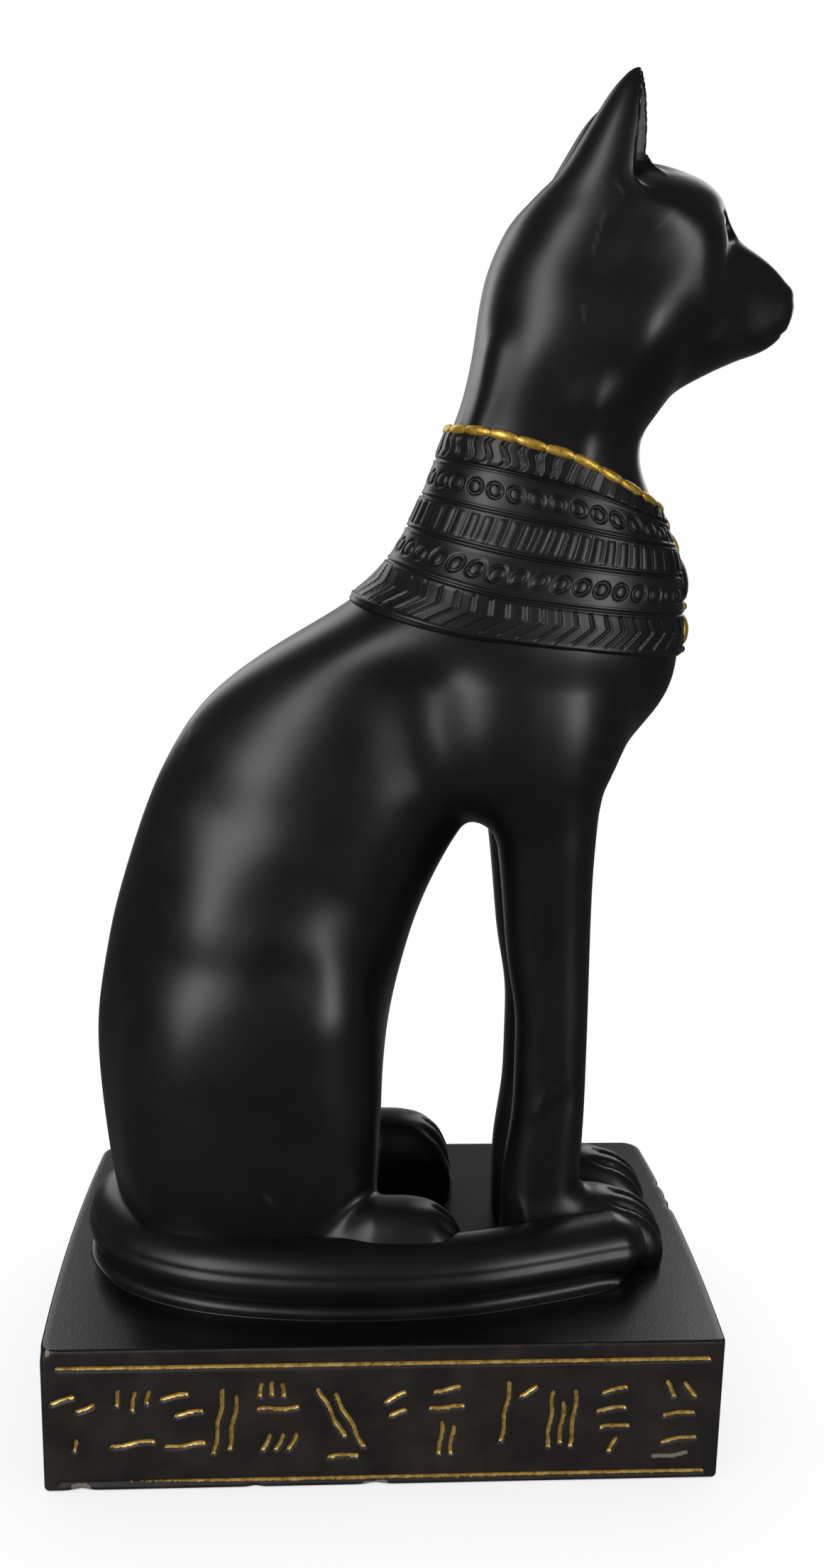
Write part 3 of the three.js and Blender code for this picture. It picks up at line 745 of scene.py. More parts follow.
def hollow_rows():
    """The hollow's sections: a share of the ear's width, as far in front of the ear as it sinks in."""
    rows = []
    for up, _, front, inner, outer in EAR[2:]:
        depth = EAR_HOLLOW_DEPTH * (outer - inner) / EAR_FULL_WIDTH
        middle, half = (outer + inner) / 2, (outer - inner) * EAR_HOLLOW_WIDTH_SHARE / 2
        rows.append([up, front - depth, front + depth, middle - half, middle + half])
    return rows


ear_hollow = stacked(hollow_rows(), 2.0)


def ear(x, y, up):
    """An ear: a tall bent cone less the hollow in its front, both turned a little outwards."""
    away_x, away_y = x - EAR_AXIS[0], y - EAR_AXIS[1]
    turned_x = away_x * math.cos(EAR_TURN) + away_y * math.sin(EAR_TURN) + EAR_AXIS[0]
    turned_y = -away_x * math.sin(EAR_TURN) + away_y * math.cos(EAR_TURN) + EAR_AXIS[1]
    return smooth_max(ear_outside(turned_x, turned_y, up), -ear_hollow(turned_x, turned_y, up), 0.5)


eye_socket = egg((50.3, 6.7, 166.4), (3.0, 4.9, 2.7))
eye_ball = egg((45.6, 6.4, 166.3), (2.7, 4.0, 2.0))
nose = egg((59.2, 0, 157.2), (1.8, 2.2, 1.5))

HEAD_STROKES = [
    ([(14.2, 149), (13, 140), (9.5, 131)], 2.2, 0.75),
    ([(25.5, 151)], 7.0, 0.6),
    ([(30, 169), (37, 167.3), (45, 164.5)], 3.6, 1.0),
    ([(28, 158.5), (40, 159)], 4.0, -0.5),
    ([(47, 167), (47, 159)], 4.2, 1.1),
    ([(36.5, 149.5)], 6.5, 1.3),
    ([(47.5, 155)], 4.0, 0.8),
    ([(28.5, 139.5)], 4.2, 1.25),
    ([(28, 131.8)], 3.8, 0.7),
]
BRIDGE_STROKES = [
    ([(49.5, 161.2), (54.5, 159.4), (58.5, 158.6)], 1.9, -0.6),
]


def mouth(x, y, up):
    """How far the line of the mouth, and the short one from it up to the nose, sink into the muzzle."""
    lips = np.exp(-(((up - 151.5 + 0.1 * y * y) / 0.4) ** 2)) * smooth_step(4.6 - y, 0, 1.5)
    middle = np.exp(-((y / 0.35) ** 2)) * smooth_step(up, 151, 152) * smooth_step(157 - up, 0, 1)
    return 0.22 * np.maximum(lips, 0.7 * middle) * smooth_step(x, 54, 57)


def head_field(x, y, up):
    """Negative inside the head and neck: skull, muzzle and ears melted together, with eyes set in."""
    y = np.abs(y)
    lean = 1 + MUZZLE_LEAN * np.clip(up - 153, -4, 12) * smooth_step(x, 43, 51)
    field = smooth_min(trunk(x, y, up), muzzle(x, y * lean, up), 4)
    field = field - smooth_step(y, 5, 10) * sculpt(x, up, HEAD_STROKES)
    field = field - smooth_step(y, 1, 3.5) * sculpt(x, up, BRIDGE_STROKES)
    field = smooth_min(field, nose(x, y, up), 0.8) + mouth(x, y, up)
    field = smooth_min(field, ear(x, y, up), 2.5)
    field = smooth_max(field, -eye_socket(x, y, up), 0.5)
    return smooth_min(field, eye_ball(x, y, up), 0.3)


def head_above_collar(x, y, up):
    """The head's field, cut off flat at the seam."""
    return np.maximum(head_field(x, y, up), COLLAR_SEAM - up)


# %% The head
HEAD_STEP = 0.42
add_net("cat_head", head_above_collar, (-3, 0, COLLAR_SEAM - NET_MARGIN), (63, 18.5, 187.5), HEAD_STEP)

# %% [markdown]
# ## The tail
# The tail lies on the plinth round the cat's right side. On the real casting it is a rounded bar with
# a shallow groove along its flank and a thin foot that melts into the plinth. It could be one more
# mass in the cat's field, but the groove would need a very fine net, so it is a profile carried along
# a path.

# %% The tail
TAIL_ROUTE = [
    (-37, 7), (-42.5, 2.5), (-43, -5), (-38.5, -12.8), (-29, -18.3), (-15, -21.2),
    (0, -21.8), (13, -20.6), (25, -17.6), (36, -14.2), (43.2, -12.6),
]
TAIL_ROWS = 420
TAIL_COLUMNS = 110
TAIL_WIDTH = 11.0
TAIL_HEIGHT = 10.5
TAIL_ROUND_END = 0.05
TAIL_LEAN_END = 0.07
TAIL_FOOT = [(0.99, -1.5), (0.99, 0.06), (0.94, 0.16), (0.84, 0.3), (0.77, 0.8)]
TAIL_FOOT_TURN = -0.75
GROOVE_DEPTH = 0.22
GROOVE_TURN = 0.27
GROOVE_SPREAD = 0.13


def even_path(route, count):
    """Evenly spaced points on a smooth curve through a route: a centripetal Catmull-Rom curve."""
    route = np.array(route, float)
    ends = [2 * route[0] - route[1]], [2 * route[-1] - route[-2]]
    knots = np.concatenate([ends[0], route, ends[1]])
    gaps = np.linalg.norm(np.diff(knots, axis=0), axis=1) ** 0.5
    stations = np.concatenate([[0], np.cumsum(gaps)])
    fine = []
    for i in range(1, len(knots) - 2):
        t = np.linspace(stations[i], stations[i + 1], 60, endpoint=False)[:, None]
        s = stations[i - 1:i + 3]
        p = knots[i - 1:i + 3]
        a = [((s[j + 1] - t) * p[j] + (t - s[j]) * p[j + 1]) / (s[j + 1] - s[j]) for j in range(3)]
        b = [((s[j + 2] - t) * a[j] + (t - s[j]) * a[j + 1]) / (s[j + 2] - s[j]) for j in range(2)]
        fine.append(((s[2] - t) * b[0] + (t - s[1]) * b[1]) / (s[2] - s[1]))
    fine = np.concatenate([*fine, knots[-2:-1]])
    gone = np.concatenate([[0], np.cumsum(np.linalg.norm(np.diff(fine, axis=0), axis=1))])
    wanted = np.linspace(0, gone[-1], count)
    return np.stack([np.interp(wanted, gone, fine[:, i]) for i in range(2)], axis=1)


def tail_sections(share):
    """Rows of points out from the path and up, at shares of the way along it: a tube on a thin foot,
    with a shallow groove of depth times exp(-((turn - place) / spread)^2) along its flank. The tail
    swells towards its root and tapers to nearly nothing at its tip, as a quarter of an ellipse does."""
    past = np.maximum(0, (share - 1 + TAIL_ROUND_END) / TAIL_ROUND_END)
    taper = np.sqrt(1 - (0.985 * past) ** 2)
    swell = 1 + 0.14 * np.maximum(0, 1 - share * 4)
    half, axis = TAIL_WIDTH / 2 * swell, TAIL_HEIGHT / 2 * swell
    turn = np.linspace(TAIL_FOOT_TURN, math.pi - TAIL_FOOT_TURN, TAIL_COLUMNS)[None, :]
    groove = GROOVE_DEPTH * taper * np.exp(-(((turn - GROOVE_TURN) / GROOVE_SPREAD) ** 2))
    out = (half * taper - groove) * np.cos(turn)
    up = axis + (axis * (0.3 + 0.7 * taper) - groove) * np.sin(turn)
    foot_out = np.array([place for place, _ in TAIL_FOOT]) * half * taper
    upright_out = math.cos(TAIL_FOOT_TURN) * half * taper
    foot_out = foot_out + (upright_out - foot_out) * smooth_step(share, 0.9, 0.97)
    foot_up = np.array([height for _, height in TAIL_FOOT]) + 0 * half
    out = np.concatenate([foot_out, out, -foot_out[:, ::-1]], axis=1)
    up = np.concatenate([foot_up, up, foot_up[:, ::-1]], axis=1)
    return out, up, axis


def make_tail():
    """The sections set across the path. Near the tip each point also leans back, by up to 1.15 times
    the axis' height less a circle's rise, so that the end is round in side view too."""
    share = np.linspace(0, 1, TAIL_ROWS)[:, None]
    out, up, axis = tail_sections(share)
    centre = even_path(TAIL_ROUTE, TAIL_ROWS)
    along = np.gradient(centre, axis=0)
    along /= np.linalg.norm(along, axis=1)[:, None]
    across = np.stack([along[:, 1], -along[:, 0]], axis=1)
    off_axis = np.clip(np.abs(up - axis) / axis, 0, 0.96)
    last_part = np.maximum(0, (share - 1 + TAIL_LEAN_END) / TAIL_LEAN_END)
    back = 1.15 * last_part ** 2 * axis * (1 - np.sqrt(1 - off_axis ** 2))
    flat = centre[:, None, :] + across[:, None, :] * out[..., None] - along[:, None, :] * back[..., None]
    points = np.concatenate([flat, up[..., None]], axis=2)
    return make_closed("cat_tail", points, points[[0, -1]].mean(axis=1), True)


add_piece(make_tail(), BODY_PAINT)

# %% [markdown]
# ## The collar
# The collar is a band of low relief that follows the neck: leaning tiles, rings, bars, rings again
# and arrow marks, between thin lines, under a rim of long gold beads. A bump pattern would look flat
# at its edge. So it is one real surface: a grid wrapped round the trunk's own skin and pushed out by
# a height map, worked out in millimetres along and across it.

# %% The collar's lines: their heights at the nape, the side and the breast
COLLAR_LINES = {
    "rim": (136, 133, 124.5),
    "first": (131.3, 128.3, 121.8),
    "second": (125.8, 122.2, 118.4),
    "third": (120.8, 117, 114.2),
    "fourth": (115.6, 111.3, 108.4),
    "hem": (109.8, 105.5, 102),
}
COLLAR_THICKNESS = 0.8


def line_height(line, turn):
    """A line's height at a turn from the nape: two cosine waves through its three heights."""
    nape, side, breast = line
    mean = (nape + breast) / 2
    level = (mean + side) / 2
    return level + (nape - breast) / 2 * np.cos(turn) + (mean - level) * np.cos(2 * turn)


def on_trunk(turn, up, out):
    """A point of the trunk's skin at a turn from its back, set out from it: the section's reach times
    the turn's cosine and sine, each raised to 2 / power."""
    back, widest, front, half, power = trunk_curves(up)
    ahead = np.cos(turn) < 0
    reach = np.where(ahead, front - widest, widest - back) + out
    forward = np.sign(np.cos(turn)) * np.abs(np.cos(turn)) ** (2 / power)
    aside = np.sign(np.sin(turn)) * np.abs(np.sin(turn)) ** (2 / power)
    return np.stack([widest - reach * forward, -(half + out) * aside, up], axis=-1)


def gone_round(line, turns):
    """The distance gone round a line of the collar at each turn."""
    points = on_trunk(turns, line_height(line, turns), COLLAR_THICKNESS)
    steps = np.linalg.norm(np.diff(points, axis=0), axis=1)
    return np.concatenate([[0], np.cumsum(steps)])


FINE_TURNS = np.linspace(0, 2 * math.pi, 2001)


def even_turns(line, count):
    """Turns evenly spaced round a line, measured along it."""
    gone = gone_round(line, FINE_TURNS)
    return np.interp(np.linspace(0, gone[-1], count, endpoint=False), gone, FINE_TURNS)


# %% Height maps of the bands, from the way gone round, the share of the way down and the band's sizes
def dent(away, width, depth):
    """A groove or, with a negative depth, a ridge: depth times exp(-(away / width)^2), downwards."""
    return -depth * np.exp(-((away / width) ** 2))


def phase(along, pitch, whole):
    """The place within one copy of a pattern, from -half to half a pitch, for a whole number of copies."""
    pitch = whole / round(whole / pitch)
    return (along / pitch + 0.5) % 1 * pitch - pitch / 2, pitch


def tile_band(along, share, height, whole):
    """Leaning tiles: raised between double grooves that lean forwards at the top, bent near the nape."""
    bent = 0.9 * smooth_step(-along, -0.28 * whole, -0.16 * whole)
    lean = (0.5 - share) * 2.4 - bent * np.sin(share * 2 * math.pi)
    away, _ = phase(along - lean, 2.7, whole)
    inside = smooth_step(share, 0.08, 0.16) * smooth_step(1 - share, 0.08, 0.16)
    cut = dent(away - 0.27, 0.17, 0.36) + dent(away + 0.27, 0.17, 0.36)
    return inside * (0.22 + cut)


def ring_band(along, share, height, whole):
    """Rings: an incised circle round a low dome."""
    across, _ = phase(along, 3.3, whole)
    away = np.hypot(across, (share - 0.5) * height)
    return 0.12 * np.exp(-((away / 0.8) ** 2)) + dent(away - 1.15, 0.19, 0.3)


def bar_band(along, share, height, whole):
    """Upright bars: low rounded panels with a thin strip between each two."""
    away, pitch = phase(along, 2.2, whole)
    inside = smooth_step(share, 0.12, 0.2) * smooth_step(1 - share, 0.12, 0.2)
    panel = 0.26 * np.sqrt(np.clip(1 - (away / (0.5 * pitch - 0.22)) ** 2, 0, 1))
    strip = dent(0.5 * pitch - np.abs(away), 0.16, -0.24)
    return inside * (panel + strip) + (1 - inside) * 0.12


def arrow_band(along, share, height, whole):
    """Arrow marks: a bent groove whose point leads forwards, a little above the middle."""
    from_tip = (share - 0.45) * height
    away, _ = phase(along + np.abs(from_tip) * 0.72, 2.75, whole)
    inside = smooth_step(share, 0.08, 0.14) * smooth_step(1 - share, 0.1, 0.18)
    return inside * (dent(away, 0.18, 0.34) + dent(away - 0.34, 0.18, -0.1))


BANDS = [
    ("rim", "first", tile_band),
    ("first", "second", ring_band),
    ("second", "third", bar_band),
    ("third", "fourth", ring_band),
    ("fourth", "hem", arrow_band),
]
BORDER_GROOVE = 0.18


# %% The collar's surface
COLLAR_COLUMNS = 640
COLLAR_ROW_MM = 0.19
SKIN_SLANT = 1.08
EDGE_TUCK = [(-0.1, -1.0), (0.22, -0.4), (0.26, 0.1), (0.16, 0.45)]


def collar_rows():
    """Heights and relief for rows of points down the bands, at even turns. The skin leans, so the way
    down it is a little longer than the drop in height."""
    turns = even_turns(COLLAR_LINES["third"], COLLAR_COLUMNS)
    heights, relief = [], []
    for upper_name, lower_name, pattern in BANDS:
        upper, lower = COLLAR_LINES[upper_name], COLLAR_LINES[lower_name]
        middle = [(a + b) / 2 for a, b in zip(upper, lower)]
        around = gone_round(middle, FINE_TURNS)
        along = np.interp(turns, FINE_TURNS, around)[None, :]
        top, bottom = line_height(upper, turns), line_height(lower, turns)
        height = (top - bottom)[None, :] * SKIN_SLANT
        rows = round((upper[1] - lower[1]) / COLLAR_ROW_MM)
        share = np.linspace(0, 1, rows, endpoint=False)[:, None]
        heights.append(top + (bottom - top) * share)
        edge = np.minimum(share, 1 - share) * height
        border = dent(edge, BORDER_GROOVE, 0.3) + dent(edge - 0.38, 0.17, -0.14)
        relief.append(pattern(along, share, height, around[-1]) * smooth_step(edge, 0.1, 0.3) + border)
    heights.append(bottom[None, :])
    relief.append(border[:1])
    return turns, np.concatenate(heights), np.concatenate(relief)


def make_collar():
    """The trunk's skin set out by the collar's thickness and the relief. At both edges four more rows,
    each so far past the edge and so far out, round it off and tuck it into the neck."""
    turns, heights, relief = collar_rows()
    out = COLLAR_THICKNESS + relief
    beyond, tuck = np.array(EDGE_TUCK).T[..., None]
    top = heights[:1] + beyond
    bottom = heights[-1:] - beyond[::-1]
    heights = np.concatenate([top, heights, bottom])
    out = np.concatenate([out[:1] * 0 + tuck, out, out[:1] * 0 + tuck[::-1]])
    base = on_trunk(turns[None, :], heights, 0.0)
    round_step = np.roll(base, -1, axis=1) - np.roll(base, 1, axis=1)
    lower = on_trunk(turns[None, :], heights - 0.4, 0.0)
    normal = np.cross(lower - base, round_step)
    normal /= np.linalg.norm(normal, axis=2)[..., None]
    points = base + normal * out[..., None]
    return make_closed("collar_bands", points, points[[0, -1]].mean(axis=1), True)


add_piece(make_collar(), BODY_PAINT)

# %% [markdown]
# ## The gold rim and the pendant
# Long gold beads lie end to end on the rim. Single beads would leave gaps where the casting has none,
# so they are one tube round the rim's line that narrows where two beads meet. The pendant hangs over
# the bands at the breast: beads and a drop. Each is an ellipsoid bent to the collar, because it is
# cast on it and not hung.

# %% Gold rim
BEAD_LENGTH = 4.4
BEAD_HALF_HEIGHT = 0.76
BEAD_RISE = 0.56
BEAD_STEPS = 24
BEAD_SIDES = 20


def make_rim():
    """A tube round the rim, whose half height and rise shrink to a half at each joint between beads:
    they are times 0.5 + 0.5 * sin(half a turn a bead)^0.4."""
    line = COLLAR_LINES["rim"]
    whole = gone_round(line, FINE_TURNS)[-1]
    beads = round(whole / BEAD_LENGTH)
    steps = beads * BEAD_STEPS
    turns = even_turns(line, steps)
    within = np.arange(steps) % BEAD_STEPS / BEAD_STEPS
    fat = 0.5 + 0.5 * np.clip(np.sin(within * math.pi), 0, 1) ** 0.4
    up = line_height(line, turns)
    base = on_trunk(turns, up, COLLAR_THICKNESS)
    along = np.roll(base, -1, axis=0) - np.roll(base, 1, axis=0)
    along /= np.linalg.norm(along, axis=1)[:, None]
    rising = on_trunk(turns, up + 0.5, COLLAR_THICKNESS) - base
    outward = np.cross(along, rising)
    outward /= np.linalg.norm(outward, axis=1)[:, None]
    rising = np.cross(outward, along)
    angle = np.linspace(0, 2 * math.pi, BEAD_SIDES, endpoint=False)[None, :, None]
    fat = fat[:, None, None]
    points = base[:, None] + rising[:, None] * (np.cos(angle) * BEAD_HALF_HEIGHT * fat)
    points = points + outward[:, None] * (np.sin(angle) * BEAD_RISE * fat)
    flat = points.reshape(-1, 3)
    quads = grid_quads(steps + 1, BEAD_SIDES) % len(flat)
    return make_mesh("gold_rim_beads", flat, quads)


add_piece(make_rim(), GOLD_PAINT)

# %% Pendant: name, height, half width, half height, rise and whether it is gold
PENDANT_ROWS = 23
PENDANT_COLUMNS = 40
PENDANT_BEND_RADIUS = 12.0


def draped(name, middle_up, half_width, half_height, rise):
    """An ellipsoid bent to the collar at the breast: half width and half height times the sine of the
    polar angle, by the cosine and sine of the turn, and set out by rise times its cosine."""
    polar = np.linspace(0, math.pi, PENDANT_ROWS + 2)[1:-1, None]
    around = np.linspace(0, 2 * math.pi, PENDANT_COLUMNS, endpoint=False)[None, :]
    across = half_width * np.sin(polar) * np.cos(around)
    up = middle_up + half_height * np.sin(polar) * np.sin(around)
    out = COLLAR_THICKNESS + rise * np.cos(polar) + 0 * around
    points = on_trunk(math.pi - across / PENDANT_BEND_RADIUS, up, out)
    tips = COLLAR_THICKNESS + np.array([rise, -rise])
    poles = on_trunk(np.full(2, math.pi), np.full(2, middle_up), tips)
    return make_closed(name, points, poles, False)


PENDANT = [
    ("pendant_bead_1", 122.6, 1.1, 1.5, 0.7, True),
    ("pendant_bead_2", 119.2, 1.3, 1.9, 0.8, True),
    ("pendant_boss", 113.8, 2.9, 3.6, 1.0, False),
    ("pendant_bead_3", 109.4, 0.9, 0.8, 0.8, True),
    ("pendant_drop", 105.6, 1.5, 2.5, 1.0, True),
    ("pendant_tip", 102.5, 0.8, 0.7, 0.7, False),
]
for name, middle_up, half_width, half_height, rise, is_gold in PENDANT:
    mesh = draped(name, middle_up, half_width, half_height, rise)
    add_piece(mesh, GOLD_PAINT if is_gold else BODY_PAINT)

# %% [markdown]
# ## The plinth
# The plinth is an oblong block with softly bowed ends. Its front carries two gold lines and, between
# them, rows of plain shallow strokes. Its edges have small nicks, and the paint is rubbed and the
# gold lost in places. Cutting the grooves with booleans would leave ragged edges, so the walls are
# one grid, very fine along the front, whose points sink where a groove or a nick is. The same
# distances tell the paint where to be gold, and others where it is worn.

# %% The plinth's outline
PLINTH_LENGTH = 104.4
PLINTH_WIDTH = 68.0
RIGHT_CORNER = 1.0
LEFT_CORNER = 3.5
PLINTH_EDGE = 0.5
PLINTH_END_BOW = 1.0
MARK_DEPTH = 0.5
MARK_WIDTH = 0.9
RULE_FROM_TOP = 3.1
RULE_FROM_BOTTOM = 1.3


def end_curve(side_start, side_end, count):
    """A bowed end from one side place to another: one bow less the square of the share from the middle."""
    side = np.linspace(side_start, side_end, count)
    half = np.where(side < 0, -side_start, side_end)
    return side, PLINTH_LENGTH / 2 + PLINTH_END_BOW * (1 - (side / half) ** 2)


def corner_arc(centre_x, centre_y, radius, start, count):
    """A quarter circle round a centre, anticlockwise from a start angle."""
    turn = np.linspace(start, start + math.pi / 2, count)
    return np.stack([centre_x + radius * np.cos(turn), centre_y + radius * np.sin(turn)], axis=1)


def plinth_outline():
    """The outline from above, anticlockwise from the front's left end, with each point's way out."""
    half_length, half_width = PLINTH_LENGTH / 2, PLINTH_WIDTH / 2
    right, left = RIGHT_CORNER, LEFT_CORNER
    front = np.linspace(-half_length + right, half_length - right, 450)
    rear = np.linspace(half_length - left, -half_length + left, 60)
    side, reach = end_curve(-half_width + right, half_width - left, 100)
    runs = [
        np.stack([front, np.full_like(front, -half_width)], axis=1),
        corner_arc(half_length - right, -half_width + right, right, -math.pi / 2, 9),
        np.stack([reach, side], axis=1),
        corner_arc(half_length - left, half_width - left, left, 0, 15),
        np.stack([rear, np.full_like(rear, half_width)], axis=1),
        corner_arc(-half_length + left, half_width - left, left, math.pi / 2, 15),
        np.stack([-reach, side], axis=1)[::-1],
        corner_arc(-half_length + right, -half_width + right, right, math.pi, 9),
    ]
    outline = np.concatenate([run[:-1] for run in runs])
    ahead = np.roll(outline, -1, axis=0) - np.roll(outline, 1, axis=0)
    ahead /= np.linalg.norm(ahead, axis=1)[:, None]
    return outline, np.stack([ahead[:, 1], -ahead[:, 0]], axis=1)


# %% The strokes on the front: middle, height, length, and lean from upright in degrees
WAVER = 0.14
FRONT_STROKES = [
    (-49.0, 15.6, 4.3, 75), (-45.6, 14.2, 3.5, 65), (-47.2, 7.8, 2.5, 20),
    (-40.7, 15.8, 3.1, 10), (-38.3, 15.2, 3.7, 10), (-36.1, 15.8, 2.7, 10), (-38.6, 8.0, 7.1, 82),
    (-32.2, 16.0, 4.7, 80), (-30.0, 13.1, 4.7, 80), (-30.6, 7.6, 6.5, 84),
    (-25.5, 11.5, 11.6, 8), (-23.3, 11.3, 9.6, 8),
    (-19.1, 16.8, 2.7, 0), (-17.4, 17.0, 2.7, 0), (-15.7, 16.8, 2.7, 0), (-16.5, 13.6, 6.7, 88),
    (-18.3, 7.8, 3.5, 24), (-16.3, 7.8, 3.5, 24), (-14.3, 7.8, 3.5, 24),
    (-8.4, 12.7, 9.8, -26), (-5.6, 11.3, 10.8, -26), (-6.6, 5.2, 5.1, 86),
    (1.3, 15.2, 4.1, 62), (1.8, 12.5, 3.1, 62),
    (9.3, 16.4, 4.5, 80), (9.3, 13.3, 5.7, 88), (8.5, 8.0, 6.1, 4), (10.2, 7.6, 5.3, 4),
    (18.4, 12.3, 10.8, 6), (21.9, 15.8, 3.5, 60),
    (25.4, 10.9, 10.2, 4), (27.2, 10.3, 7.6, 4), (29.0, 10.9, 10.2, 4),
    (35.3, 15.8, 4.3, 72), (34.9, 12.5, 4.9, 84), (35.5, 9.5, 4.9, 84), (35.3, 6.2, 3.1, 20),
    (44.0, 15.8, 3.5, -30), (47.0, 15.6, 3.5, -30), (45.5, 11.5, 5.3, 86), (45.7, 7.0, 5.9, 80),
]


def to_segment(x, z, middle, length, lean):
    """Distance from points of the front to a straight stroke, wavered a little along its length."""
    turn = math.radians(lean)
    along_x, along_z = math.sin(turn), math.cos(turn)
    along = (x - middle[0]) * along_x + (z - middle[1]) * along_z
    aside = (x - middle[0]) * along_z - (z - middle[1]) * along_x
    aside = aside - WAVER * np.sin(along * 1.1 + middle[0] * 3)
    past = np.maximum(np.abs(along) - (length - MARK_WIDTH) / 2, 0)
    return np.hypot(past, aside)


def front_distance(x, z):
    """Distance from points of the front to the nearest stroke."""
    nearest = np.full(np.broadcast(x, z).shape, FAR)
    for middle_x, middle_z, length, lean in FRONT_STROKES:
        nearest = np.minimum(nearest, to_segment(x, z, (middle_x, middle_z), length, lean))
    return nearest


# %% Nicks as place, size and depth, and worn places as strokes with the spread of the wear
NICKS = [
    ((52.5, 16.3, 24), 1.1, 0.5), ((52.6, 11.4, 24), 0.9, 0.4), ((52.8, 8, 24), 1.2, 0.55),
    ((-46.5, -34, 0.2), 1.4, 0.5), ((-1.5, -34, 0.1), 1.5, 0.45), ((-51.8, -33.6, 24), 1.2, 0.5),
    ((31, -34, 24), 0.8, 0.25), ((-20, -34, 0.1), 1.0, 0.3),
]
WORN_PLACES = [
    (-46.5, 0.5, 3.0, 90, 0.6), (-1.5, 0.3, 4.0, 88, 0.5), (-51.6, 23.5, 2.0, 80, 0.6),
    (44.4, 4.3, 6.0, 84, 0.4),
]


def nick_depth(x, y, z):
    """How far the nicks cut in: the largest depth times exp(-(distance / size)^2)."""
    sunk = 0
    for place, size, depth in NICKS:
        away = np.sqrt((x - place[0]) ** 2 + (y - place[1]) ** 2 + (z - place[2]) ** 2)
        sunk = np.maximum(sunk, depth * np.exp(-((away / size) ** 2)))
    return sunk


def worn_share(x, z, on_front):
    """How rubbed the front is: the largest exp(-(distance / spread)^2) of the worn places."""
    worn = np.zeros(np.broadcast(x, z).shape)
    for middle_x, middle_z, length, lean, spread in WORN_PLACES:
        away = np.where(on_front, to_segment(x, z, (middle_x, middle_z), length, lean), FAR)
        worn = np.maximum(worn, np.exp(-((away / spread) ** 2)))
    return worn


# %% Grooves and the gold in them
RULE_END = 2.6
GROOVE_FLOOR = 0.12
GOLD_EDGE = (0.22, 0.04)


def nearest_groove(x, y, z, on_front):
    """Distance to the nearest groove: the strokes on the front, and on every side two rules, one near
    the top and one near the bottom, that end short of the corners."""
    from_corner = np.maximum(PLINTH_LENGTH / 2 - np.abs(x), PLINTH_WIDTH / 2 - np.abs(y))
    from_rules = np.minimum(np.abs(z - PLINTH_HEIGHT + RULE_FROM_TOP), np.abs(z - RULE_FROM_BOTTOM))
    from_rules = np.hypot(from_rules, np.maximum(RULE_END - from_corner, 0))
    return np.minimum(from_rules, np.where(on_front, front_distance(x, z), FAR))


def gold_left(x, z, nearest, on_front):
    """How much gold the grooves still hold: less towards the front's left end, and least low down."""
    gold = 1 - smooth_step(nearest, MARK_WIDTH / 2 - GOLD_EDGE[0], MARK_WIDTH / 2 - GOLD_EDGE[1])
    lost = 0.3 * smooth_step(-x, 30, 50) + 0.45 * smooth_step(-x, 12, 40) * (1 - smooth_step(z, 3, 4))
    return gold * (1 - np.where(on_front, lost, 0.2))


# %% The plinth's walls and faces
CAP_SHARES = (0.985, 0.95, 0.85, 0.6, 0.3)


def wall_profile():
    """Heights up a wall and how far each is drawn in, with a quarter round at both edges."""
    turn = np.linspace(0, math.pi / 2, 6)
    rounding = PLINTH_EDGE * (1 - np.sin(turn))
    rise = PLINTH_EDGE * (1 - np.cos(turn))
    wall = np.linspace(PLINTH_EDGE, PLINTH_HEIGHT - PLINTH_EDGE, 100)[1:-1]
    heights = np.concatenate([rise, wall, PLINTH_HEIGHT - rise[::-1]])
    return heights[:, None], np.concatenate([rounding, 0 * wall, rounding[::-1]])[:, None]


def make_plinth():
    """Walls: the outline at each height, drawn in at the edges and where a groove or a nick is. The
    faces above and below are the outline again, times a row of shares, closed at their middles."""
    outline, outward = plinth_outline()
    z, inset = wall_profile()
    x, y = outline[:, 0][None, :], outline[:, 1][None, :]
    on_front = (y < -PLINTH_WIDTH / 2 + 0.01) & (np.abs(x) < PLINTH_LENGTH / 2)
    nearest = nearest_groove(x, y, z, on_front)
    sunk = MARK_DEPTH * (1 - smooth_step(nearest, GROOVE_FLOOR, MARK_WIDTH / 2 + GROOVE_FLOOR))
    sunk = np.maximum(sunk, nick_depth(x, y, z))
    flat = outline[None] - outward[None] * (inset + sunk)[..., None]
    upright = np.broadcast_to(z[..., None] - PLINTH_HEIGHT, flat.shape[:2] + (1,))
    walls = np.concatenate([flat, upright], axis=2)
    tops = [walls[-1] * [share, share, 1] for share in CAP_SHARES]
    bottoms = [walls[0] * [share, share, 1] for share in CAP_SHARES[::-1]]
    points = np.concatenate([bottoms, walls, tops])
    mesh = make_closed("plinth", points, [[0, 0, -PLINTH_HEIGHT], [0, 0, 0]], False)
    gold, worn = gold_left(x, z, nearest, on_front), worn_share(x, z, on_front)
    cap = np.zeros(len(CAP_SHARES) * points.shape[1])
    for name, values in (("gold", gold), ("worn", worn)):
        set_attribute(mesh, name, np.concatenate([cap, values.ravel(), cap, [0, 0]]))
    edge_rows = 3
    row = np.repeat(np.arange(len(points)), points.shape[1])
    is_top = row >= len(points) - len(CAP_SHARES) - edge_rows
    set_attribute(mesh, "top", np.concatenate([is_top, [0, 1]]))
    return mesh


# %% The plinth's paint
PLINTH_GRAIN_MM = 0.5
PLINTH_MOTTLE_MM = 6.0
GROOVE_BRUSH_MM = 0.9


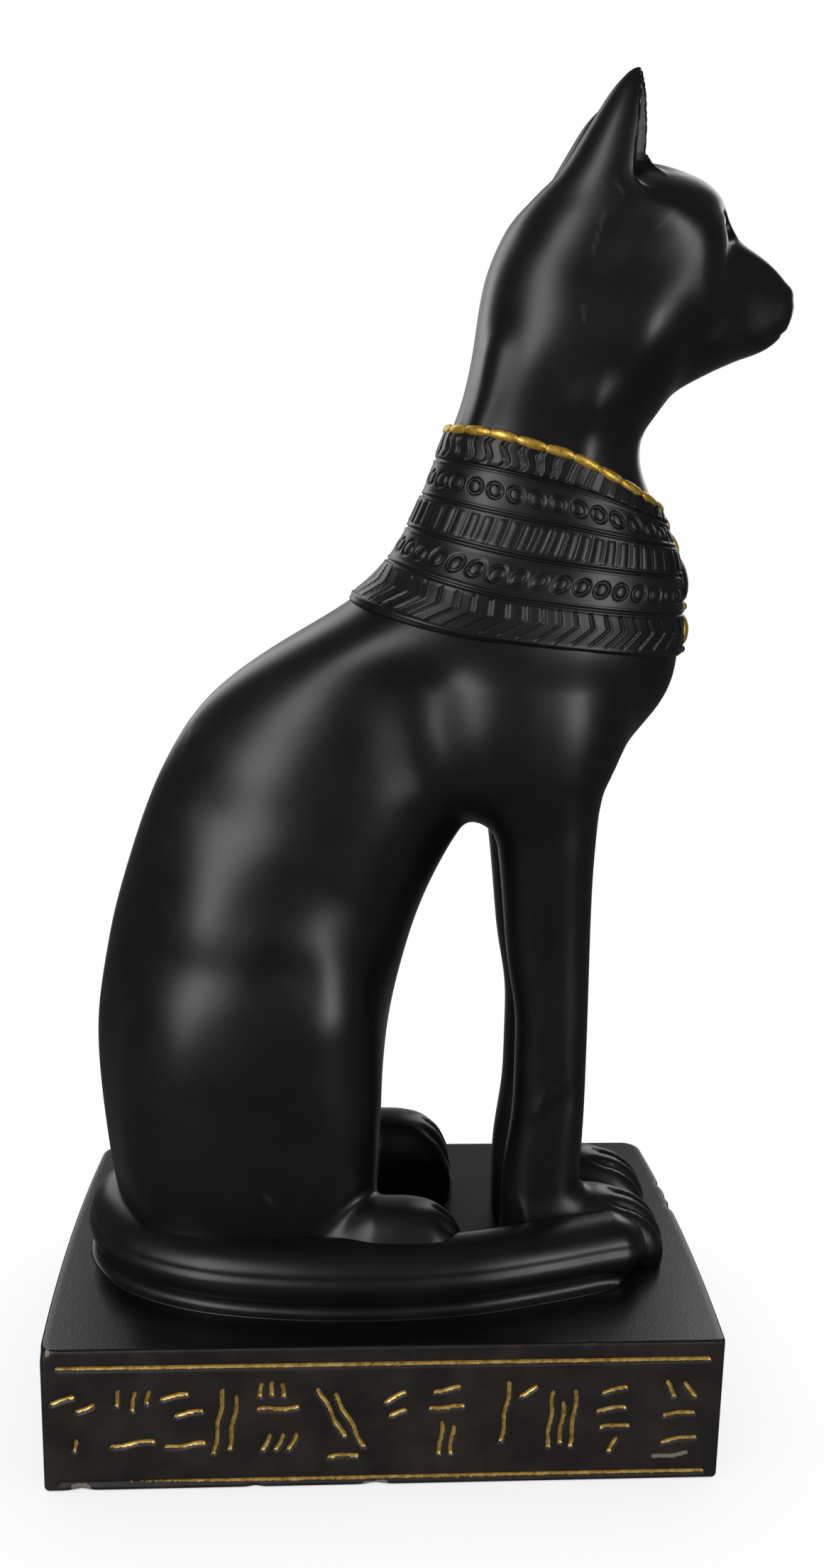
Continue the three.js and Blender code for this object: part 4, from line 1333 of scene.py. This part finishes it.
def plinth_paint(name):
    """The same black, a little browner on the walls and painted lighter there than on the top, as painted
    light that the walls catch. The walls are drier, roughness about 0.5, with gold paint where the
    grooves were filled. The grain breaks up the gold's rim and the rubbed places."""
    material, tree = new_material(name)
    place = add_node(tree, "ShaderNodeTexCoord").outputs["Object"]
    grain = add_node(tree, "ShaderNodeTexNoise", Vector=place, Scale=1 / (PLINTH_GRAIN_MM * MM), Detail=3.0)
    mottle = add_node(
        tree, "ShaderNodeTexNoise", Vector=place, Scale=1 / (PLINTH_MOTTLE_MM * MM), Detail=4.0)
    # Painted light: the walls are painted lighter than the top, standing in for the light that the walls
    # catch; the top keeps the plain dark black.
    wall = ramp(tree, mottle.outputs["Fac"], [(0.3, "#161211"), (0.7, "#2a2522")])
    above = add_node(tree, "ShaderNodeAttribute", {"attribute_name": "top"}).outputs["Fac"]
    black = add_node(
        tree, "ShaderNodeMix", {"data_type": "RGBA"}, Factor=above, i6=wall.outputs["Color"],
        i7=linear("#0f0e0f"))
    brush = add_node(tree, "ShaderNodeTexNoise", Vector=place, Scale=1 / (GROOVE_BRUSH_MM * MM), Detail=4.0)
    gold = ramp(tree, brush.outputs["Fac"], [(0.25, "#8a6a2a"), (0.5, "#cba650"), (0.75, "#e8cd84")])
    painted = add_node(tree, "ShaderNodeAttribute", {"attribute_name": "gold"}).outputs["Fac"]
    broken = add_node(
        tree, "ShaderNodeMath", {"operation": "MULTIPLY_ADD"}, i0=grain.outputs["Fac"], i1=0.9,
        i2=painted)
    cover = ramp(tree, broken.outputs["Value"], [(0.9, 0.0), (1.05, 1.0)])
    worn = add_node(tree, "ShaderNodeAttribute", {"attribute_name": "worn"}).outputs["Fac"]
    rubbed = add_node(
        tree, "ShaderNodeMath", {"operation": "MULTIPLY_ADD"}, i0=grain.outputs["Fac"], i1=0.9, i2=worn)
    rubbed = ramp(tree, rubbed.outputs["Value"], [(0.92, 0.0), (1.15, 0.8)])
    ground = add_node(
        tree, "ShaderNodeMix", {"data_type": "RGBA"}, Factor=rubbed.outputs["Color"],
        i6=black.outputs[2], i7=linear("#8f857a"))
    colour = add_node(
        tree, "ShaderNodeMix", {"data_type": "RGBA"}, Factor=cover.outputs["Color"],
        i6=ground.outputs[2], i7=gold.outputs["Color"])
    plain = add_node(tree, "ShaderNodeMapRange", Value=above, i3=0.5, i4=0.3)
    rough = add_node(tree, "ShaderNodeMapRange", Value=cover.outputs["Color"], i3=plain.outputs[0], i4=0.38)
    metal = add_node(tree, "ShaderNodeMapRange", Value=cover.outputs["Color"], i3=0.0, i4=0.6)
    bump = add_node(
        tree, "ShaderNodeBump", Height=grain.outputs["Fac"], Strength=0.3, Distance=0.06 * MM)
    shader = add_node(
        tree, "ShaderNodeBsdfPrincipled", Base_Color=colour.outputs[2], Metallic=metal.outputs[0],
        Roughness=rough.outputs[0], IOR=1.5, Normal=bump.outputs["Normal"])
    add_node(tree, "ShaderNodeOutputMaterial", Surface=shader.outputs["BSDF"])
    return material


add_piece(make_plinth(), plinth_paint("black_paint_with_gold_filled_grooves"))

# %% [markdown]
# ## Floor, light and air
# Black satin shows its form only by what it mirrors, so the lights' places and sizes matter more than
# their strength. A tall soft light stands at the left and a weaker one at the right, each with a
# smaller, brighter core, as a studio softbox has. Two weak ones behind draw a thin line of light
# round the figure and show its form from the other side. The floor is a stage: it gives its own
# pale light, and a painted contact shadow darkens it only close to the plinth.

# %% Floor and lights
FIGURE_MIDDLE = (0.0, 0.0, 0.105)
FLOOR_REACH = 3.0
CONTACT_SHADOW = 0.03
LIGHT_DISTANCE = 0.8


def add_floor():
    """A wide pale floor that the object doesn't mirror. It glows evenly, and a painted contact shadow makes
    it darker where something stands close to it.
    """
    mesh = bpy.data.meshes.new("floor")
    corners = [(-FLOOR_REACH, -FLOOR_REACH, 0), (FLOOR_REACH, -FLOOR_REACH, 0)]
    corners += [(-x, -y, 0) for x, y, _ in corners]
    mesh.from_pydata(corners, [], [(0, 1, 2, 3)])
    floor = bpy.data.objects.new("floor", mesh)
    bpy.context.scene.collection.objects.link(floor)
    floor.visible_glossy = False
    floor.visible_diffuse = False
    material, tree = new_material("pale_floor")
    # Painted shadow: the floor's glow is darkened where something stands within a few centimetres, as a
    # contact shadow.
    near = add_node(tree, "ShaderNodeAmbientOcclusion", {"samples": 8}, Distance=CONTACT_SHADOW)
    tone = ramp(tree, near.outputs["AO"], [(0.0, "#a8a8a9"), (0.5, "#f2f2f3"), (1.0, "#ffffff")])
    shader = add_node(tree, "ShaderNodeEmission", Color=tone.outputs["Color"])
    add_node(tree, "ShaderNodeOutputMaterial", Surface=shader.outputs["Emission"])
    mesh.materials.append(material)


def add_softbox(name, azimuth, elevation, width, height, watts):
    """A soft light at an azimuth from the camera's side towards +X, aimed at the figure's middle."""
    data = bpy.data.lights.new(name, "AREA")
    data.shape = "ELLIPSE"
    data.size = width
    data.size_y = height
    data.energy = watts
    light = bpy.data.objects.new(name, data)
    turn, lift = math.radians(azimuth), math.radians(elevation)
    way = (math.sin(turn) * math.cos(lift), -math.cos(turn) * math.cos(lift), math.sin(lift))
    place = [middle + LIGHT_DISTANCE * part for middle, part in zip(FIGURE_MIDDLE, way)]
    facing = Matrix.Rotation(turn, 4, "Z") @ Matrix.Rotation(math.pi / 2 - lift, 4, "X")
    light.matrix_world = Matrix.Translation(place) @ facing
    light.visible_camera = False
    bpy.context.scene.collection.objects.link(light)


add_floor()
add_softbox("softbox_left", -38, 17, 0.22, 0.88, 2.0)
add_softbox("softbox_left_core", -38, 17, 0.18, 0.42, 2.2)
add_softbox("softbox_right", 42, 7, 0.22, 0.92, 0.9)
add_softbox("softbox_right_core", 41, 5, 0.18, 0.42, 0.9)
add_softbox("softbox_behind_left", -152, 24, 0.3, 0.7, 1.0)
add_softbox("softbox_behind_right", 148, 24, 0.3, 0.7, 1.2)


# %% The air around
def set_world():
    """White where the camera sees it, and a dim studio where surfaces mirror it."""
    world = bpy.data.worlds.new("studio")
    bpy.context.scene.world = world
    world.use_nodes = True
    tree = world.node_tree
    tree.nodes.clear()
    seen = add_node(tree, "ShaderNodeLightPath").outputs["Is Camera Ray"]
    place = add_node(tree, "ShaderNodeTexCoord").outputs["Generated"]
    parts = add_node(tree, "ShaderNodeSeparateXYZ", Vector=place)
    behind = ramp(tree, parts.outputs["Y"], [(0.85, 0.08), (1.0, 0.6)])
    studio = add_node(tree, "ShaderNodeBackground", Color=behind.outputs["Color"], Strength=1.0)
    white = add_node(tree, "ShaderNodeBackground", Color=linear("#ffffff"), Strength=1.0)
    mixed = add_node(tree, "ShaderNodeMixShader", Fac=seen, i1=studio.outputs[0], i2=white.outputs[0])
    add_node(tree, "ShaderNodeOutputWorld", Surface=mixed.outputs[0])


set_world()
bpy.context.scene.view_settings.view_transform = "Standard"
